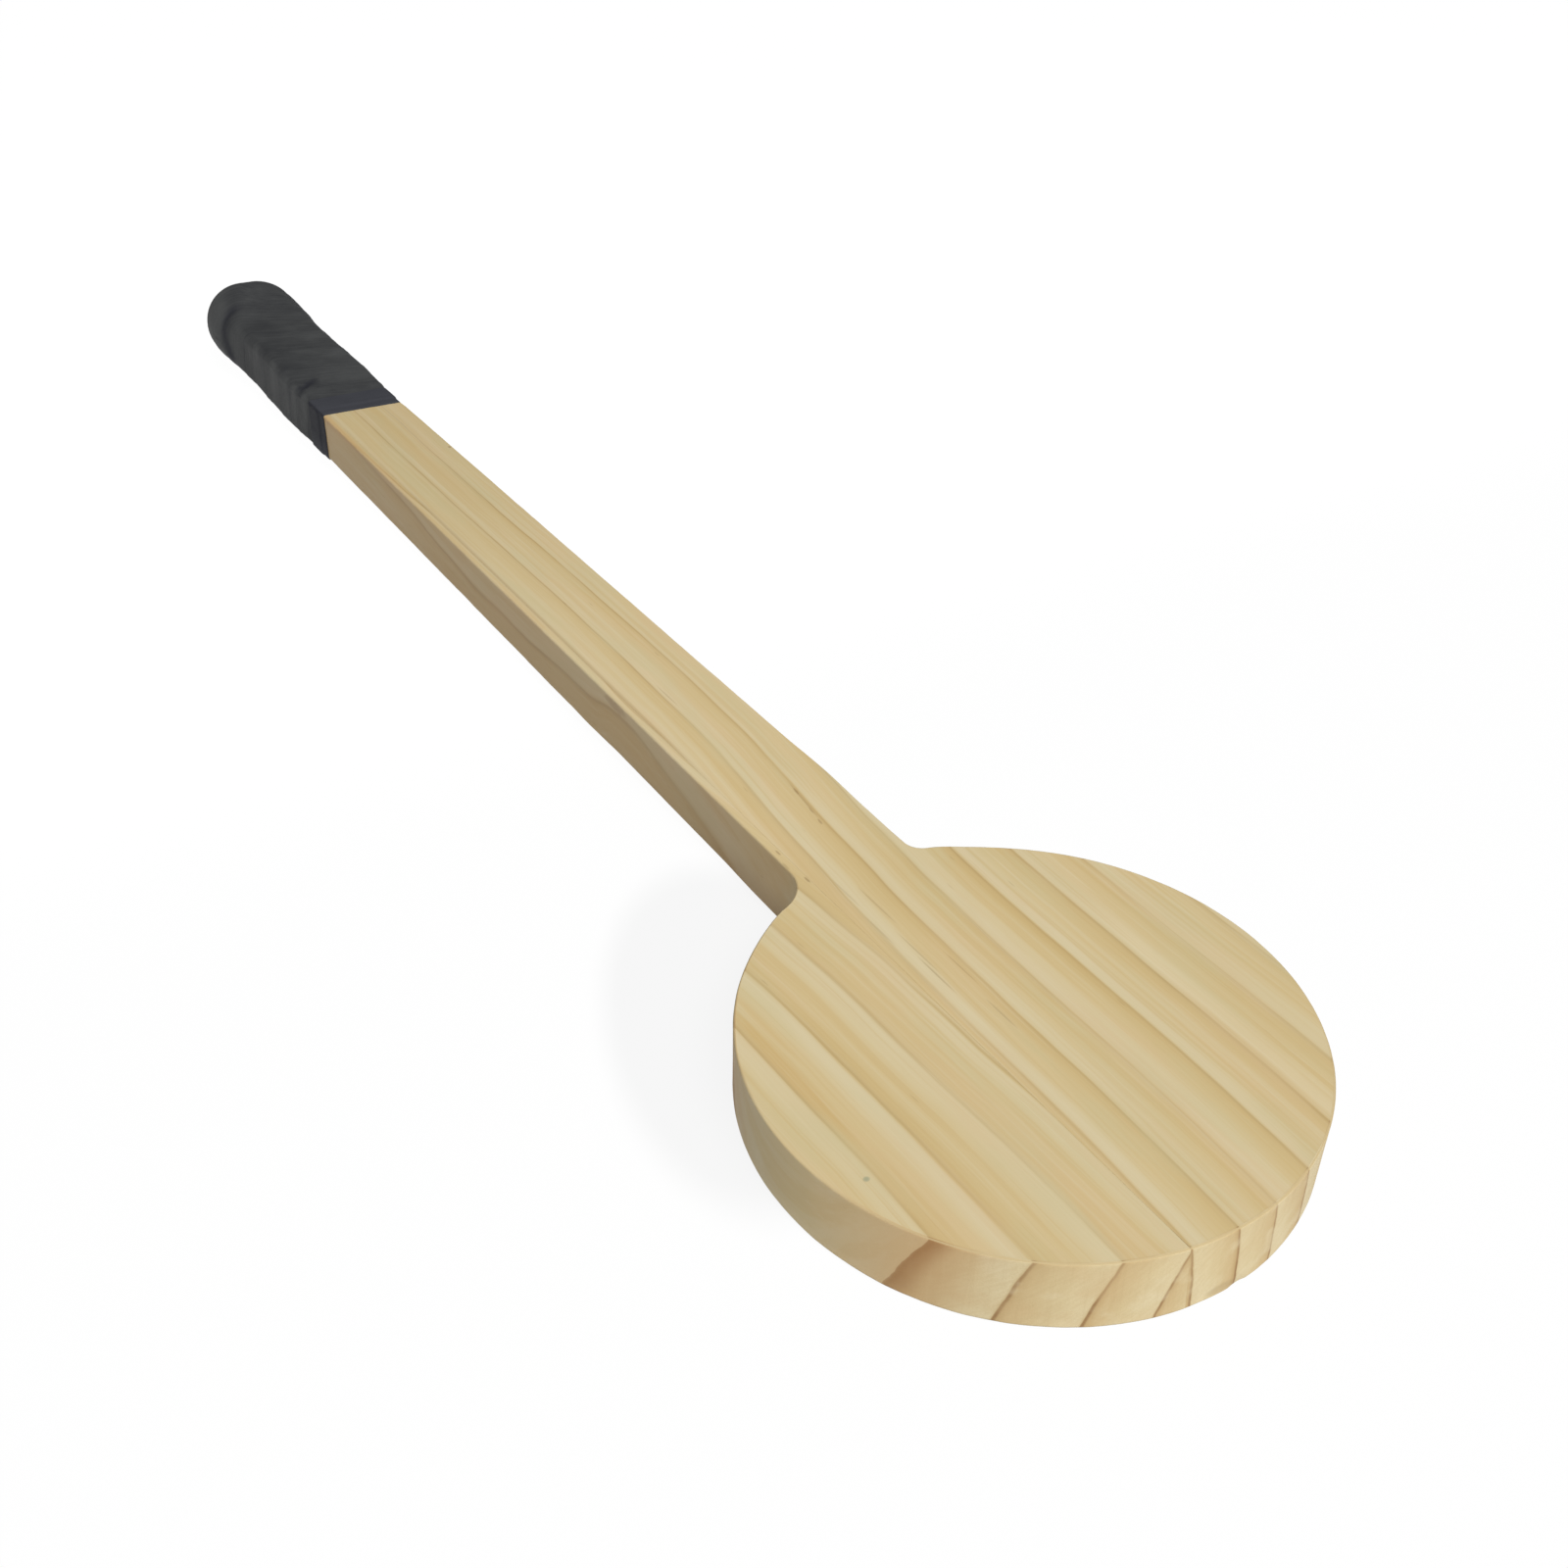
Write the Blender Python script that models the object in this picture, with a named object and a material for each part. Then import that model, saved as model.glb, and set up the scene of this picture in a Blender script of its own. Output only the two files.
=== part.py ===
# Wooden tennis practice paddle.
#
# A small round wooden head and a long straight handle, sawn in one outline from
# an edge-glued softwood board, with an oval knob cap on the handle's end, a
# spirally wound grip tape over handle and knob, and a thin finishing band that
# holds the last turn of the tape down on the wood.
#
# Frame: the board lies flat, faces across Z, handle along +Y, width along X.
# The origin is under the middle of the whole paddle, at the height of the
# knob's underside, which is the lowest point of the object.
# Units are metres.

import bpy
import bmesh
import math

MM = 0.001

# ---------------------------------------------------------------- dimensions
LENGTH = 600 * MM            # head's far edge to the end of the knob
HEAD_D = 120 * MM            # round hitting head
BOARD_T = 17 * MM            # board thickness
SHAFT_W = 29.4 * MM          # sawn width of the shaft (nominal 30 mm stock)
EDGE_R = 0.6 * MM            # eased arrises of the board
GAP = 0.3 * MM               # clearance between pieces that touch

NECK_R = {+1: 4.5 * MM, -1: 12 * MM}       # concave neck fillets, right and left
SHOULDER_E = {+1: 2.2 * MM, -1: 1.65 * MM} # how much fuller than the circle
SHOULDER_W = {+1: 8.5, -1: 11.0}           # degrees over which that fades out

JOINT_X_TOP = -12.4 * MM     # glue line between the two staves, top face
JOINT_X_BOTTOM = -10.6 * MM  # and on the back face: the joint leans a little

KNOB_H = 33.2 * MM           # thickness of the knob over its tape
KNOB_RISE = 0.6 * MM         # the knob sits a little above the board's middle
KNOB_SIDE = 1.2 * MM         # and a little to its right
# wrapped handle (mm): distance from the butt end, half width, half thickness,
# corner radius, offset to the right
STATIONS = [(140, 15.6, 9.4, 3.0, 0.2), (110, 16.1, 10.1, 3.0, 0.3), (80, 15.7, 10.7, 3.2, 0.5),
            (60, 15.8, 10.5, 3.5, 0.9), (48, 16.5, 10.5, 4.4, 1.0), (40, 17.4, 10.8, 5.9, 1.1),
            (32, 19.1, 11.7, 9.7, 1.1), (25, 20.1, 13.0, 14.8, 1.1), (18, 20.0, 14.6, 16.1, 1.15),
            (10, 19.2, 16.6, 16.3, 1.2)]
TAPE_WALL = 0.6 * MM
TAPE_PITCH = 21.5 * MM       # advance of the winding per turn
TAPE_RIDGE = 0.15 * MM       # swell where one turn laps the last
DOME_R = 10 * MM           # rounding of the knob's end

GRIP_FROM_END = 153 * MM     # butt end to the finishing band's wood-side edge
BAND_W = 17 * MM             # finishing band
CAP_FROM_END = 38 * MM       # butt end to the knob cap's mouth
BOARD_FROM_END = 14 * MM     # butt end to the end of the wood inside the cap
NARROW_FROM_END = 50 * MM    # butt end to the end of the narrow stave
CHAMFER = 5 * MM             # corners cut off the wood that enters the cap
CUT_FROM_END = (50 * MM, 44 * MM)   # where those chamfers start and are full
SEAT = 0.05 * MM             # wood sanded back under the tape, for its adhesive
SEAT_LEAD = 1.0 * MM         # how far ahead of the finishing band that starts

# positions along Y
Y_BUTT = LENGTH / 2
Y_HEAD = -LENGTH / 2 + HEAD_D / 2
Z_MID = KNOB_H / 2 - KNOB_RISE         # middle of the board
Z_TOP = Z_MID + BOARD_T / 2
Z_BOT = Z_MID - BOARD_T / 2
Y_BAND = Y_BUTT - GRIP_FROM_END
Y_WOOD_END = Y_BUTT - BOARD_FROM_END
Y_DOME = Y_BUTT - DOME_R


# ------------------------------------------------------------------- helpers
def smooth(a, b, x):
    t = min(max((x - a) / (b - a), 0.0), 1.0)
    return t * t * (3 - 2 * t)


def material(name, rgb, rough, metal=0.0):
    m = bpy.data.materials.new(name)
    m.use_nodes = True
    p = m.node_tree.nodes["Principled BSDF"]
    p.inputs["Base Color"].default_value = (rgb[0], rgb[1], rgb[2], 1.0)
    p.inputs["Roughness"].default_value = rough
    p.inputs["Metallic"].default_value = metal
    return m


def new_object(name, bm, mat, parent):
    bmesh.ops.remove_doubles(bm, verts=bm.verts, dist=1e-7)
    bmesh.ops.recalc_face_normals(bm, faces=bm.faces)
    bmesh.ops.triangulate(bm, faces=[f for f in bm.faces if len(f.verts) > 4])
    me = bpy.data.meshes.new(name)
    bm.to_mesh(me)
    bm.free()
    me.materials.append(mat)
    me.shade_smooth()
    me.set_sharp_from_angle(angle=math.radians(35))
    ob = bpy.data.objects.new(name, me)
    bpy.context.scene.collection.objects.link(ob)
    ob.parent = parent
    return ob


def bridge(bm, low, high):
    """Quads between two closed rings of the same length."""
    n = len(low)
    for i in range(n):
        bm.faces.new((low[i], low[(i + 1) % n], high[(i + 1) % n], high[i]))


# ------------------------------------------------------------- board outline
def neck(side):
    """Centre of the neck fillet and the head angle (from +Y) where it ends."""
    r = NECK_R[side]
    rt = HEAD_D / 2 + SHOULDER_E[side]
    cx = SHAFT_W / 2 + r
    cy = math.sqrt((rt + r) ** 2 - cx ** 2)
    return cx, cy, math.atan2(cx, cy)


def head_radius(side, ang):
    """Radius of the head at an angle from the handle's axis."""
    _, _, at = neck(side)
    d = math.degrees(ang - at) / SHOULDER_W[side]
    return HEAD_D / 2 + SHOULDER_E[side] / (1 + d * d)


def outline(side, xj, inset, depth, n_rim=56):
    """One stave's outline, seen from above, starting on the glue line at the
    head's far edge and running round the rim, the neck and the shaft.
    side +1 is the wide stave (right), -1 the narrow one (left). Local head
    centre at (0, 0). xj is the glue line's x at this height and depth the
    distance to the nearer face. Also returns how many points lie under the
    tape: they are the last ones but one."""
    pts = []
    r0 = HEAD_D / 2
    # rim: from the glue line round to the neck; angle measured from +Y
    start = math.pi - side * math.asin(xj / r0)
    cx, cy, at = neck(side)
    for i in range(n_rim + 1):
        a = start + (at - start) * i / n_rim
        r = head_radius(side, a) - inset
        if i == 0:
            # keep the first point exactly on the glue line
            pts.append((xj, -math.sqrt((r0 - inset) ** 2 - xj ** 2)))
        else:
            pts.append((side * r * math.sin(a), r * math.cos(a)))
    # concave fillet, from the head to the shaft
    fr = NECK_R[side] + inset
    a0 = math.atan2(-cy, -cx)          # towards the head's centre
    a1 = -math.pi                      # towards the shaft
    for i in range(1, 9):
        a = a0 + (a1 - a0) * i / 8
        pts.append((side * (cx + fr * math.cos(a)), cy + fr * math.sin(a)))
    # shaft side: the exposed wood, the short ramp down to the taped part, the
    # chamfers of the part in the cap and the end, then back by the glue line
    w = SHAFT_W / 2 - inset
    y_seat = Y_BAND - Y_HEAD - SEAT_LEAD
    run = [(y_seat + SEAT_LEAD / 2, 0.0)]
    if side > 0:
        cut = max(0.0, CHAMFER - depth)
        run += [(Y_BUTT - CUT_FROM_END[0] - Y_HEAD, 0.0), (Y_BUTT - CUT_FROM_END[1] - Y_HEAD, cut),
                (Y_WOOD_END - Y_HEAD - inset, cut)]
    else:
        run += [(Y_BUTT - NARROW_FROM_END - Y_HEAD - inset, 0.0)]
    pts.append((side * w, y_seat))
    pts += [(side * (w - SEAT - c), y) for y, c in run]
    pts += [(max(xj, c - w) if side > 0 else xj, y) for y, c in reversed(run)]
    pts.append((xj, y_seat))
    return pts, 2 * len(run)


def stave(name, side, mat, parent):
    """A stave of the board: the outline lofted through its thickness, with the
    outer arrises eased and the glued face left square."""
    bm = bmesh.new()
    e = EDGE_R
    levels = [(Z_BOT, e), (Z_BOT + e * 0.29, e * 0.29), (Z_BOT + e, 0.0),
              (Z_BOT + CHAMFER, 0.0), (Z_TOP - CHAMFER, 0.0),
              (Z_TOP - e, 0.0), (Z_TOP - e * 0.29, e * 0.29), (Z_TOP, e)]
    rings = []
    for z, inset in levels:
        t = (z - Z_BOT) / BOARD_T
        xj = JOINT_X_BOTTOM + (JOINT_X_TOP - JOINT_X_BOTTOM) * t
        xj += side * GAP / 2
        pts, taped = outline(side, xj, inset, min(z - Z_BOT, Z_TOP - z))
        drop = [0.0] * (len(pts) - taped - 1) + [SEAT] * taped + [0.0]
        rings.append([bm.verts.new((x, y + Y_HEAD, z + (d if z < Z_MID else -d)))
                      for (x, y), d in zip(pts, drop)])
    for a, b in zip(rings, rings[1:]):
        bridge(bm, a, b)
    k = -taped - 1
    for r in (rings[0], rings[-1]):
        # flat faces: the exposed wood, the short ramp and the taped part
        for cap in (r[:k] + r[-1:], [r[k - 1], r[k], r[-2], r[-1]], r[k:-1]):
            bm.faces.new(cap)
    return new_object(name, bm, mat, parent)


# ------------------------------------------------------------- grip sections
CORNER_SEG = 8
FLAT_SEG = 3


def section(y, a, h, r, cx=0.0, cz=0.0):
    """A rounded rectangle across Y, half sizes a and h, corner radius r, its
    middle at (cx, cz) from the board's."""
    r = max(min(r, a - 1e-5, h - 1e-5), 1e-5)
    corners = []
    for sx, sz, a0 in ((1, 1, 0), (-1, 1, 90), (-1, -1, 180), (1, -1, 270)):
        x, z = cx + sx * (a - r), cz + sz * (h - r)
        corners.append([(x + r * math.cos(math.radians(a0 + 90 * k / CORNER_SEG)),
                         z + r * math.sin(math.radians(a0 + 90 * k / CORNER_SEG)))
                        for k in range(CORNER_SEG + 1)])
    ring = []
    for i, c in enumerate(corners):
        ring += c
        p, q = c[-1], corners[(i + 1) % 4][0]
        ring += [(p[0] + (q[0] - p[0]) * k / FLAT_SEG,
                  p[1] + (q[1] - p[1]) * k / FLAT_SEG)
                 for k in range(1, FLAT_SEG)]
    return [(x, y, Z_MID + z) for x, z in ring]


def profile(y, column):
    """Smooth curve through a column of the stations, without overshoot."""
    xs = [-s[0] for s in STATIONS]
    vs = [s[column] for s in STATIONS]
    x = min(max((y - Y_BUTT) / MM, xs[0]), xs[-1])
    d = [(vs[i + 1] - vs[i]) / (xs[i + 1] - xs[i]) for i in range(len(xs) - 1)]
    m = [0.0] + [2 * p * q / (p + q) if p * q > 0 else 0.0 for p, q in zip(d, d[1:])] + [d[-1]]
    i = max(k for k in range(len(d)) if x >= xs[k])
    w = xs[i + 1] - xs[i]
    t = (x - xs[i]) / w
    return ((2 * t ** 3 - 3 * t ** 2 + 1) * vs[i] + (t ** 3 - 2 * t ** 2 + t) * w * m[i]
            + (3 * t ** 2 - 2 * t ** 3) * vs[i + 1] + (t ** 3 - t ** 2) * w * m[i + 1]) * MM


def grip_corner(y):
    return profile(y, 3)


def grip_centre(y):
    return profile(y, 4), KNOB_RISE * smooth(-60 * MM, -15 * MM, y - Y_BUTT)


def grip_section(y, inset, dome=0.0):
    """Section of the wrapped handle, moved in by inset. dome is the angle
    round the rounded end of the knob, 0 on its straight part."""
    a, h, r = profile(y, 1), profile(y, 2), grip_corner(y)
    cx, cz = grip_centre(y)
    if dome > 0:
        drop = (DOME_R - inset) * (1 - math.cos(dome))
        yy = Y_DOME + (DOME_R - inset) * math.sin(dome)
        k = inset + drop
        return section(yy, a - k, h - k, r - 0.5 * k, cx, cz)
    return section(y, a - inset, h - inset, r - 0.5 * inset, cx, cz)


def loft(name, rings, mat, parent, closed_tube):
    """Loft rings into one closed body. A closed tube joins its last ring to
    its first (a sleeve); otherwise both ends are filled."""
    bm = bmesh.new()
    vs = [[bm.verts.new(p) for p in ring] for ring in rings]
    for a, b in zip(vs, vs[1:]):
        bridge(bm, a, b)
    if closed_tube:
        bridge(bm, vs[-1], vs[0])
    else:
        bm.faces.new(list(reversed(vs[0])))
        bm.faces.new(vs[-1])
    return new_object(name, bm, mat, parent)


# -------------------------------------------------------------------- pieces
def overgrip(mat, parent):
    """Grip tape: a thin sleeve over handle and knob with the low spiral swell
    of a winding. Its start tucks under the finishing band, and its other end
    folds over the knob's rounded rim."""
    w_in, h_in = SHAFT_W / 2 + GAP, BOARD_T / 2 + GAP
    y0 = Y_BAND + 5.8 * MM                 # under the band
    y1 = Y_BAND + BAND_W + 0.4 * MM        # clear of the band
    rings = []
    thin = TAPE_WALL * 0.6
    for y in (y0, (y0 + y1) / 2, y1):
        rings.append(section(y, w_in + thin, h_in + thin, 1.4 * MM))
    y = y1 + 1.6 * MM
    n = len(rings[0])
    step = 3.0 * MM
    count = int(math.ceil((Y_DOME - y) / step))
    for i in range(count + 1):
        yy = y + (Y_DOME - y) * i / count
        ring = grip_section(yy, 0.0)
        fade = smooth(y1, y1 + 8 * MM, yy) * (1 - smooth(Y_BUTT - 30 * MM, Y_DOME, yy))
        out = []
        for k, p in enumerate(ring):
            phase = (yy - y1) / TAPE_PITCH + k / n
            d = TAPE_RIDGE * math.cos(2 * math.pi * phase) * fade
            l = math.hypot(p[0], p[2] - Z_MID)
            out.append((p[0] * (1 + d / l), yy, Z_MID + (p[2] - Z_MID) * (1 + d / l)))
        rings.append(out)
    dome_end = math.radians(62)
    for i in range(1, 6):
        rings.append(grip_section(Y_DOME, 0.0, dome_end * i / 5))
    # back along the inside
    wall = TAPE_WALL + GAP
    for i in range(5, 0, -1):
        rings.append(grip_section(Y_DOME, wall, dome_end * i / 5))
    inner = [Y_DOME - d * MM for d in (0, 4, 8, 12, 16, 20, 24, 28, 32)]
    for yy in inner:
        rings.append(grip_section(yy, wall))
    for yy in (Y_DOME - 38 * MM, (y0 + Y_DOME) / 2, y0):
        rings.append(section(yy, w_in, h_in, 0.8 * MM))
    return loft("overgrip_tape", rings, mat, parent, True)


def finishing_band(mat, parent):
    """Thin band round the last turn: its first millimetres grip bare wood, the
    rest laps over the end of the grip tape."""
    w, h = SHAFT_W / 2 + GAP, BOARD_T / 2 + GAP
    t = 0.35 * MM
    lift = TAPE_WALL * 0.6 + GAP
    prof = [(0.0, t), (3.6, t), (5.6, lift + t), (BAND_W / MM, lift + t),
            (BAND_W / MM, lift), (5.2, lift), (4.6, 0.0), (0.0, 0.0)]
    rings = [section(Y_BAND + y * MM, w + d, h + d, 0.9 * MM + d) for y, d in prof]
    return loft("finishing_band", rings, mat, parent, True)


def knob_cap(mat, parent):
    """Oval cap pushed over the handle's end under the tape: flared outside,
    with a rectangular socket for the wood and a plain oval end face that
    shows through the opening of the tape."""
    inset = TAPE_WALL + 2 * GAP
    mouth = Y_BUTT - CAP_FROM_END
    rings = []
    n = 10
    for i in range(n + 1):
        rings.append(grip_section(mouth + (Y_DOME - mouth) * i / n, inset))
    dome_end = math.radians(58)
    for i in range(1, 5):
        rings.append(grip_section(Y_DOME, inset, dome_end * i / 4))
    for y, a, h in ((2.4, 12.2, 8.9), (2.0, 11.8, 8.5), (0.35, 11.8, 8.5), (0.0, 11.4, 8.1)):
        rings.append(section(Y_BUTT - y * MM, a * MM, h * MM, 7.5 * MM, KNOB_SIDE, KNOB_RISE))
    # filled end face, then the socket from its floor back to the mouth
    bm = bmesh.new()
    vs = [[bm.verts.new(p) for p in ring] for ring in rings]
    for a, b in zip(vs, vs[1:]):
        bridge(bm, a, b)
    bm.faces.new(vs[-1])
    left, right, h = JOINT_X_TOP - GAP, SHAFT_W / 2 + GAP, BOARD_T / 2 + GAP
    w, mid = (right - left) / 2, (right + left) / 2
    floor = [bm.verts.new(p) for p in section(Y_WOOD_END + GAP, w, h, 4 * MM, mid)]
    lip = [bm.verts.new(p) for p in section(mouth, w, h, 4 * MM, mid)]
    bridge(bm, floor, lip)
    bm.faces.new(list(reversed(floor)))
    bridge(bm, lip, vs[0])
    return new_object("knob_cap", bm, mat, parent)


def main():
    for ob in list(bpy.data.objects):
        bpy.data.objects.remove(ob, do_unlink=True)

    root = bpy.data.objects.new("paddle", None)
    bpy.context.scene.collection.objects.link(root)

    pine = material("pine", (0.62, 0.45, 0.24), 0.55)
    pine_b = material("pine_second_stave", (0.58, 0.41, 0.21), 0.55)
    tape = material("grip_tape", (0.045, 0.048, 0.05), 0.6)
    band = material("band_tape", (0.035, 0.037, 0.045), 0.35)
    cap = material("cap_rubber", (0.03, 0.03, 0.032), 0.7)

    stave("stave_wide", +1, pine, root)
    stave("stave_narrow", -1, pine_b, root)
    knob_cap(cap, root)
    overgrip(tape, root)
    finishing_band(band, root)


main()
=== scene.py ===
import bpy
import bmesh
import math
import numpy as np
from mathutils import Matrix, Vector, noise


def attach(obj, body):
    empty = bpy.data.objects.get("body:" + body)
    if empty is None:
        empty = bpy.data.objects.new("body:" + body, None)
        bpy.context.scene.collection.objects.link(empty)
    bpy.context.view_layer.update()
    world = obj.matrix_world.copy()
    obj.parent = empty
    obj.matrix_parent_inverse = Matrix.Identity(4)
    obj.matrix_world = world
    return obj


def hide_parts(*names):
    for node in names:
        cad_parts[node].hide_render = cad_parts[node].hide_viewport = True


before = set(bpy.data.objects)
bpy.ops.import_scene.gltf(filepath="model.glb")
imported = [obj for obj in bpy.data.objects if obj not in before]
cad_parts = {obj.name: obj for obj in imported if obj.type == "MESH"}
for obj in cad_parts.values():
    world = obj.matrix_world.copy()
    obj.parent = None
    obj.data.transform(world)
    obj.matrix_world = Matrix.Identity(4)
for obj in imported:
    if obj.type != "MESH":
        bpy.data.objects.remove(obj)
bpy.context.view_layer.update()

# Wooden practice paddle: the looks. Lengths in this file are millimetres until
# a mesh is made; the frame's axes are X across the board, +Y from the head to
# the knob, +Z out of the front face.

# ------------------------------------------------------------------ dimensions
HEAD_R = 60.0
HEAD_Y = -240.0              # head's centre
T = 17.0
Z_MID = 16.0                 # middle of the board
Z_TOP, Z_BOT = Z_MID + T / 2, Z_MID - T / 2
SHAFT_W = 29.4
NECK_R = {+1: 4.5, -1: 12.0}
SHOULDER_E = {+1: 2.2, -1: 1.65}
SHOULDER_W = {+1: 8.5, -1: 11.0}
JOINT_TOP, JOINT_BOT = -12.4, -10.6   # glue line's x on the two faces
Y_BUTT = 300.0
Y_BAND = 147.0
BAND_W = 17.0
Y_WOOD_END = 286.0           # wide stave, inside the knob's cap
Y_NARROW_END = 250.0         # narrow stave, at the cap's mouth
CUT, CUT_Y0, CUT_Y1 = 5.0, 250.0, 256.0   # chamfers of the wood in the cap
DOME_R = 9.8
Y_DOME = Y_BUTT - DOME_R
# wrapped handle: distance from the butt end, half width, half thickness,
# corner radius, offset to the right
STATIONS = [(140.0, 15.65, 9.5, 3.0, 0.2), (110.0, 16.15, 10.15, 3.1, 0.3), (80.0, 15.6, 10.8, 3.4, 0.5),
            (60.0, 15.75, 10.5, 3.7, 0.9), (48.0, 16.45, 10.5, 4.5, 1.0), (40.0, 17.4, 10.75, 5.9, 1.1),
            (32.0, 19.1, 11.7, 9.7, 1.1), (25.0, 20.05, 13.0, 14.8, 1.1), (18.0, 19.95, 14.55, 16.1, 1.15),
            (9.8, 19.15, 16.55, 16.3, 1.2)]
KNOB_RISE, KNOB_SIDE = 0.6, 1.2       # how far the knob's middle lies off the board's

# ------------------------------------------------------------------- utilities
def smooth(a, b, x):
    t = np.clip((np.asarray(x, float) - a) / (b - a), 0.0, 1.0)
    return t * t * (3 - 2 * t)


def n1(x, seed=0.0):
    return noise.noise(Vector((x, seed * 7.31 + 0.37, seed * 3.17 + 1.9)))


def n2(x, y, seed=0.0):
    return noise.noise(Vector((x, y, seed * 5.23 + 0.61)))


def mesh_piece(name, verts, faces, mat, sharp=38.0, attrs=None, weld=0.0, tri_ngons=False):
    """A mesh object from points in millimetres. attrs: point values by name."""
    me = bpy.data.meshes.new(name)
    me.from_pydata([tuple(float(c) * 0.001 for c in v) for v in verts], [], faces)
    for key, values in (attrs or {}).items():
        a = me.attributes.new(key, 'FLOAT', 'POINT')
        a.data.foreach_set("value", np.asarray(values, np.float32))
    bm = bmesh.new()
    bm.from_mesh(me)
    if weld:
        bmesh.ops.remove_doubles(bm, verts=bm.verts, dist=weld * 0.001)
        slits = [e for e in bm.edges if len(e.link_faces) == 1]
        bmesh.ops.holes_fill(bm, edges=slits, sides=0)
        over = [f for f in bm.faces if len(f.verts) > 4]
        bmesh.ops.triangulate(bm, faces=over)
    if tri_ngons:
        big = [f for f in bm.faces if len(f.verts) > 4]
        bmesh.ops.triangulate(bm, faces=big, quad_method='BEAUTY', ngon_method='BEAUTY')
    bmesh.ops.recalc_face_normals(bm, faces=bm.faces)
    bm.to_mesh(me)
    bm.free()
    me.materials.append(mat)
    me.shade_smooth()
    if sharp:
        me.set_sharp_from_angle(angle=math.radians(sharp))
    ob = bpy.data.objects.new(name, me)
    bpy.context.scene.collection.objects.link(ob)
    return ob


# --------------------------------------------------------------- node plumbing
class Nodes:
    """Small helper for building a material's node tree."""

    def __init__(self, name):
        self.mat = bpy.data.materials.new(name)
        self.mat.use_nodes = True
        self.t = self.mat.node_tree
        self.bsdf = self.t.nodes["Principled BSDF"]

    def node(self, kind, **props):
        n = self.t.nodes.new(kind)
        for k, v in props.items():
            setattr(n, k, v)
        return n

    def link(self, a, b):
        self.t.links.new(a, b)

    def feed(self, sock, v):
        if hasattr(v, "is_linked") or isinstance(v, bpy.types.NodeSocket):
            self.link(v, sock)
        else:
            sock.default_value = v

    def math(self, op, a, b=None, c=None, clamp=False):
        n = self.node("ShaderNodeMath", operation=op, use_clamp=clamp)
        self.feed(n.inputs[0], a)
        if b is not None:
            self.feed(n.inputs[1], b)
        if c is not None:
            self.feed(n.inputs[2], c)
        return n.outputs[0]

    def add(self, a, b): return self.math('ADD', a, b)
    def sub(self, a, b): return self.math('SUBTRACT', a, b)
    def mul(self, a, b): return self.math('MULTIPLY', a, b)
    def mad(self, a, b, c): return self.math('MULTIPLY_ADD', a, b, c)

    def remap(self, v, a, b, lo=0.0, hi=1.0, kind='SMOOTHSTEP'):
        n = self.node("ShaderNodeMapRange", interpolation_type=kind, clamp=True)
        self.feed(n.inputs["Value"], v)
        n.inputs["From Min"].default_value = a
        n.inputs["From Max"].default_value = b
        n.inputs["To Min"].default_value = lo
        n.inputs["To Max"].default_value = hi
        return n.outputs["Result"]

    def vec(self, x, y, z):
        n = self.node("ShaderNodeCombineXYZ")
        for s, v in zip(n.inputs, (x, y, z)):
            self.feed(s, v)
        return n.outputs[0]

    def noise(self, vec, scale=1.0, detail=2.0, rough=0.5, dist=0.0):
        n = self.node("ShaderNodeTexNoise")
        self.feed(n.inputs["Vector"], vec)
        n.inputs["Scale"].default_value = scale
        n.inputs["Detail"].default_value = detail
        n.inputs["Roughness"].default_value = rough
        n.inputs["Distortion"].default_value = dist
        return n.outputs[0]

    def ramp(self, fac, stops, interp='LINEAR'):
        n = self.node("ShaderNodeValToRGB")
        cr = n.color_ramp
        cr.interpolation = interp
        while len(cr.elements) < len(stops):
            cr.elements.new(0.5)
        for e, (p, c) in zip(cr.elements, stops):
            e.position = p
            e.color = (*c, 1.0) if len(c) == 3 else c
        self.feed(n.inputs[0], fac)
        return n.outputs[0]

    def curve(self, value, points, handle='AUTO_CLAMPED'):
        """A float curve through (x, y) points, both scaled to 0..1 inside."""
        xs = [p[0] for p in points]
        ys = [p[1] for p in points]
        x0, x1, y0, y1 = xs[0], xs[-1], min(ys), max(ys)
        n = self.node("ShaderNodeFloatCurve")
        c = n.mapping.curves[0]
        while len(c.points) < len(points):
            c.points.new(0.5, 0.5)
        for p, (x, y) in zip(c.points, points):
            p.location = ((x - x0) / (x1 - x0), (y - y0) / (y1 - y0))
            p.handle_type = handle
        n.mapping.update()
        t = self.math('DIVIDE', self.sub(value, x0), x1 - x0, clamp=True)
        self.link(t, n.inputs["Value"])
        return self.mad(n.outputs[0], y1 - y0, y0)

    def mix(self, fac, a, b, blend='MIX'):
        n = self.node("ShaderNodeMix", data_type='RGBA', blend_type=blend)
        self.feed(n.inputs[0], fac)
        for s, v in ((n.inputs[6], a), (n.inputs[7], b)):
            self.feed(s, (*v, 1.0) if isinstance(v, tuple) and len(v) == 3 else v)
        return n.outputs[2]

    def mixf(self, fac, a, b):
        return self.add(a, self.mul(fac, self.sub(b, a)))

    def attr(self, name):
        return self.node("ShaderNodeAttribute", attribute_name=name).outputs["Fac"]

    def bump(self, height, dist_mm, strength=1.0):
        n = self.node("ShaderNodeBump")
        n.inputs["Strength"].default_value = strength
        n.inputs["Distance"].default_value = dist_mm * 0.001
        self.link(height, n.inputs["Height"])
        return n.outputs[0]

    def mm(self):
        """Object coordinates in millimetres: vector and its three parts."""
        tc = self.node("ShaderNodeTexCoord")
        s = self.node("ShaderNodeVectorMath", operation='SCALE')
        self.link(tc.outputs["Object"], s.inputs[0])
        s.inputs["Scale"].default_value = 1000.0
        q = self.node("ShaderNodeSeparateXYZ")
        self.link(s.outputs[0], q.inputs[0])
        return s.outputs[0], q.outputs[0], q.outputs[1], q.outputs[2]


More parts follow.
